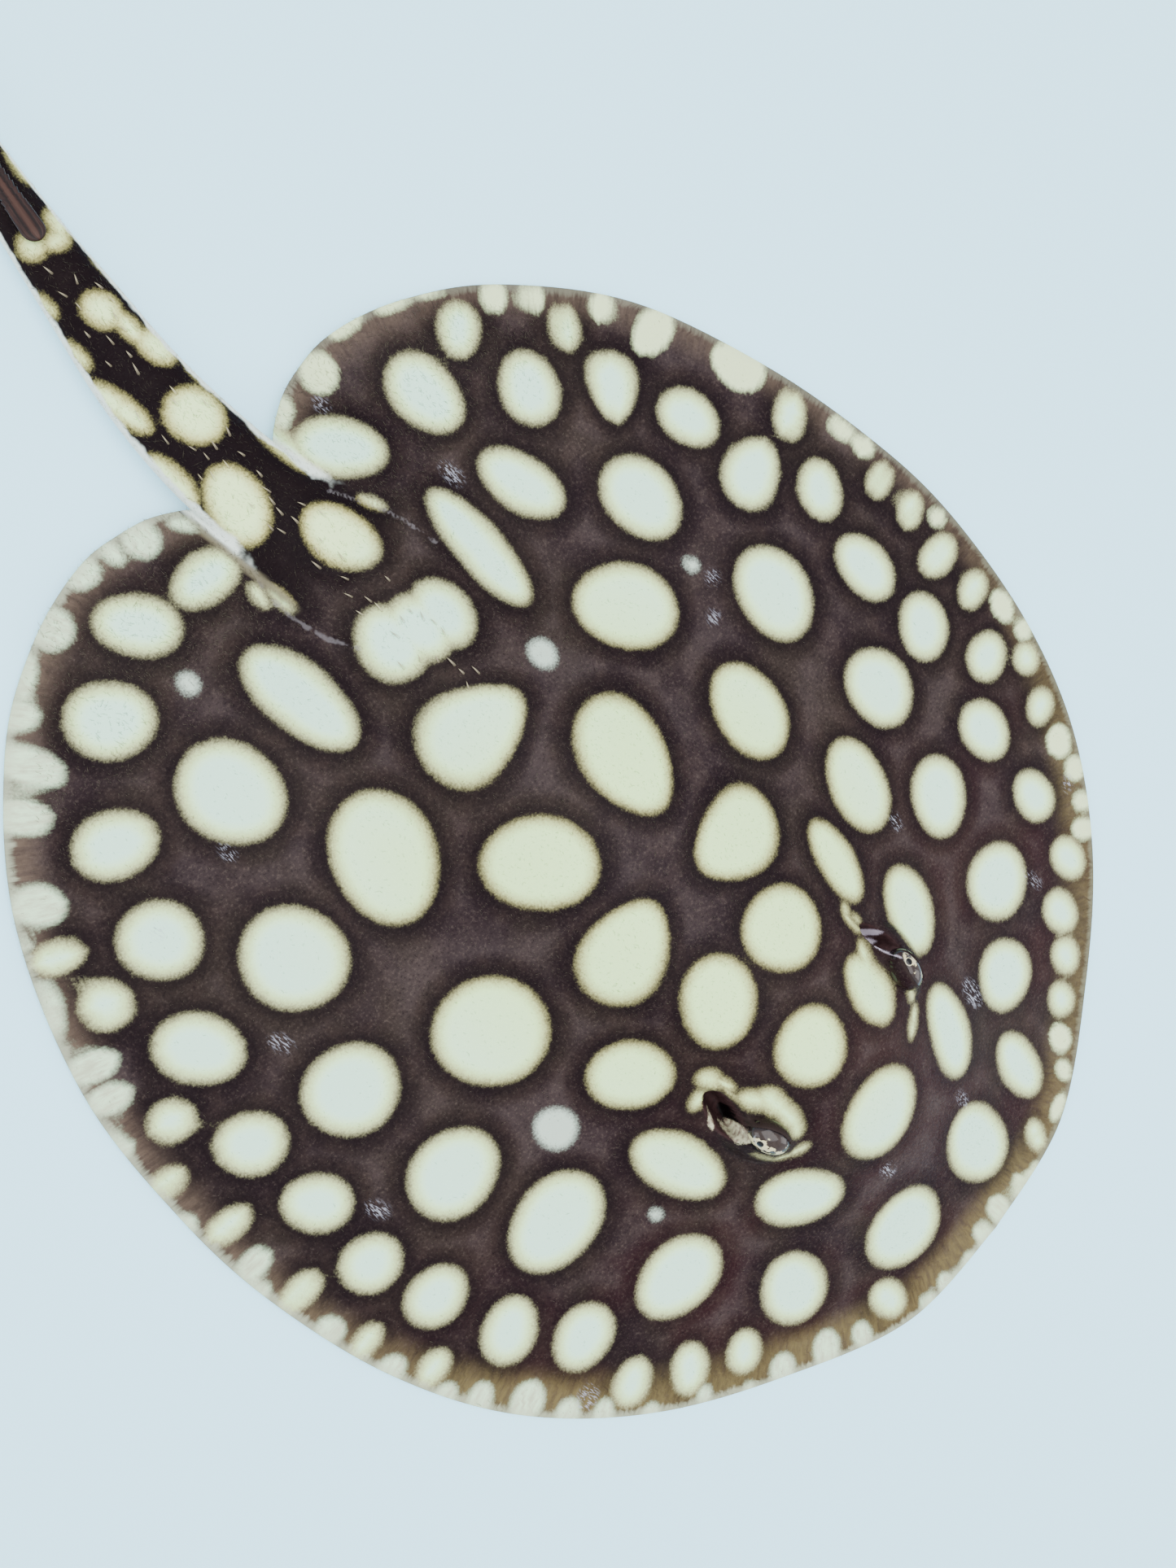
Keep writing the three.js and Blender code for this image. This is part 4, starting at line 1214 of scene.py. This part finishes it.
# %% Many small cones in one mesh
def leaning(name, roots, normals, lengths, widths, heights, swing, profile, sides):
    """One mesh of many small leaning cones. Each is rings of a few sides that run back along the skin from
    its root and rise from it, and end in a point. profile holds how far along, how high and how wide each
    ring is. Every cone has a patch of the map OFBake where its root lies on the skin laid flat."""
    count = len(roots)
    back = np.tile([0.0, 1.0, 0.0], (count, 1))
    back -= normals * np.sum(back * normals, 1, keepdims=True)
    back /= np.maximum(np.linalg.norm(back, axis=1, keepdims=True), 1e-6)
    across = np.cross(back, normals)
    way = back * np.cos(swing)[:, None] + across * np.sin(swing)[:, None]
    wide = np.cross(way, normals)
    turn = np.linspace(0, 2 * np.pi, sides, endpoint=False)
    rings = []
    for along, up, size in profile:
        centre = roots + way * (lengths * along)[:, None] + normals * (heights * up)[:, None]
        ring = np.cos(turn)[:, None, None] * wide * (widths * size)[:, None]
        ring = ring + np.sin(turn)[:, None, None] * (normals * 0.6 - way * 0.5) * (widths * size)[:, None]
        rings.append((centre + ring).transpose(1, 0, 2))
    tip = roots + way * lengths[:, None] + normals * heights[:, None]
    root = roots - normals * (widths * 0.5)[:, None]
    one = np.concatenate([np.concatenate(rings, 1), tip[:, None], root[:, None]], 1)
    each = one.shape[1]
    k = np.arange(sides)
    after = (k + 1) % sides
    faces = []
    for ring in range(len(profile) - 1):
        low, high = ring * sides, (ring + 1) * sides
        faces.append(np.stack([low + k, low + after, high + after], -1))
        faces.append(np.stack([low + k, high + after, high + k], -1))
    top = (len(profile) - 1) * sides
    faces.append(np.stack([top + k, top + after, np.full_like(k, each - 2)], -1))
    faces.append(np.stack([after, k, np.full_like(k, each - 1)], -1))
    faces = np.concatenate(faces)
    trio = (one[0] - one[0].mean(0))[faces]
    if np.sum(trio[:, 0] * np.cross(trio[:, 1], trio[:, 2])) < 0:
        faces = faces[:, ::-1]
    all_faces = (np.arange(count)[:, None, None] * each + faces).reshape(-1, 3)
    made = mesh_object(name, one.reshape(-1, 3), all_faces)
    laid = np.stack([0.02 + (roots[:, 0] + 175) / 640, 0.02 + (roots[:, 1] + 190) / 640], -1)
    patch = np.stack([np.tile([0, 1, 1, 0], each)[:each], np.linspace(0, 1, each)], -1) * 0.003
    laid = (laid[:, None] + patch).reshape(-1, 2)
    uv = made.data.uv_layers.new(name="OFBake")
    uv.data.foreach_set("uv", laid[all_faces.ravel()].astype(np.float32).ravel())
    for key_name, values in place_numbers(roots, normals[:, 2]).items():
        set_attribute(made.data, key_name, np.repeat(values, each))
    tips = np.append(np.repeat([p[0] for p in profile], sides), [1, 0])
    set_attribute(made.data, "tip", np.tile(tips, count))
    print(f"{name}: {count} of them, {len(all_faces)} triangles")
    return made


# %% Thorns down the tail
def thorn_density(at, up):
    """Thickest along the top of the tail's first half, and none where the sting lies or underneath."""
    middle, half = tail_at(at[:, 1])[:2]
    off = np.abs(at[:, 0] - middle) / half
    wanted = ease(0.7, 0.25, off) * ease(78, 120, at[:, 1]) * ease(330, 262, at[:, 1])
    free = 1 - ease(256, 260, at[:, 1]) * ease(326, 322, at[:, 1]) * (off < 0.9)
    return wanted * free * (up > 0.5) + 1e-9


THORNS_TRIED, THORN_SEED, THORNS_APART = 125, 21, 3.2
roots, normals, chance = scatter(THORNS_TRIED, thorn_density, THORN_SEED)
apart = np.hypot(*(roots[:, None, :2] - roots[None, :, :2]).T)
crowded = np.triu(apart < THORNS_APART, 1).any(0)
roots, normals = roots[~crowded], normals[~crowded]
count = len(roots)
THORN = [(-0.12, -0.25, 1.1), (0.0, 0.1, 1.0), (0.3, 0.5, 0.72), (0.65, 0.85, 0.42)]
lengths = chance.uniform(1.7, 3.3, count)
thorns = leaning(
    "tail_thorns", roots, normals, lengths, chance.uniform(0.3, 0.45, count),
    chance.uniform(0.7, 1.3, count), chance.normal(0, 0.25, count), THORN, 8,
)  # fmt: skip
shade_smooth(thorns.data)
face_outward(thorns)


# %% Denticles over the back
def denticle_density(at, up):
    """Thickest along the back's middle and the tail, thin towards the rim, and none on the lids or below."""
    x, y, z = at.T
    middle = bump(x, 62)
    eye = opening_of(x, y)
    along, across = about_hole(x, y)
    clear = (eye > 1.25) * (np.hypot(along, across) > 1.25)
    on_tail = ease(125, 150, y)
    grown = (0.22 + middle) * (1 - on_tail) * ease(-186, -150, y) + 1.6 * on_tail * (z > 3)
    return grown * clear * (up > 0.25) + 1e-9


DENTICLES, DENTICLE_SEED = 24000, 5
roots, normals, chance = scatter(DENTICLES, denticle_density, DENTICLE_SEED)
count = len(roots)
face_small = 1 - 0.45 * bump(np.hypot(roots[:, 0], roots[:, 1] + 100), 50)
on_tail = ease(125, 150, roots[:, 1])
lengths = (chance.gamma(4.0, 0.22, count) * face_small + 0.25) * (0.55 + 0.35 * on_tail)
denticles = leaning(
    "denticles", roots, normals, lengths, 0.07 + 0.04 * lengths,
    0.14 + 0.16 * lengths * chance.uniform(0.4, 1, count), chance.normal(0, 0.6, count),
    [(0.0, 0.0, 1.0)], 3,
)  # fmt: skip
face_outward(denticles)

# %% The coat's material
for made, share, tint, name in (
    (thorns, 0.75, srgb(150, 140, 116), "thorn enamel"),
    (denticles, 0.3, srgb(128, 122, 104), "denticle enamel"),
):
    look = material(name)[0]
    sheet = Sheet(look)
    tipped = sheet.times(sheet.step(sheet.number("tip"), 0.0, 0.5, 0.4, 1.0), share)
    on_tail = sheet.step(sheet.number("tail"), 0, 1, 1, 0.55 + 0.45 * (share > 0.5))
    tipped = sheet.times(tipped, on_tail)
    sheet.surface(sheet.mix(tipped, markings(sheet), tint), rough=0.45, specular=0.08)
    made.data.materials.append(look)
    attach(made, "root")
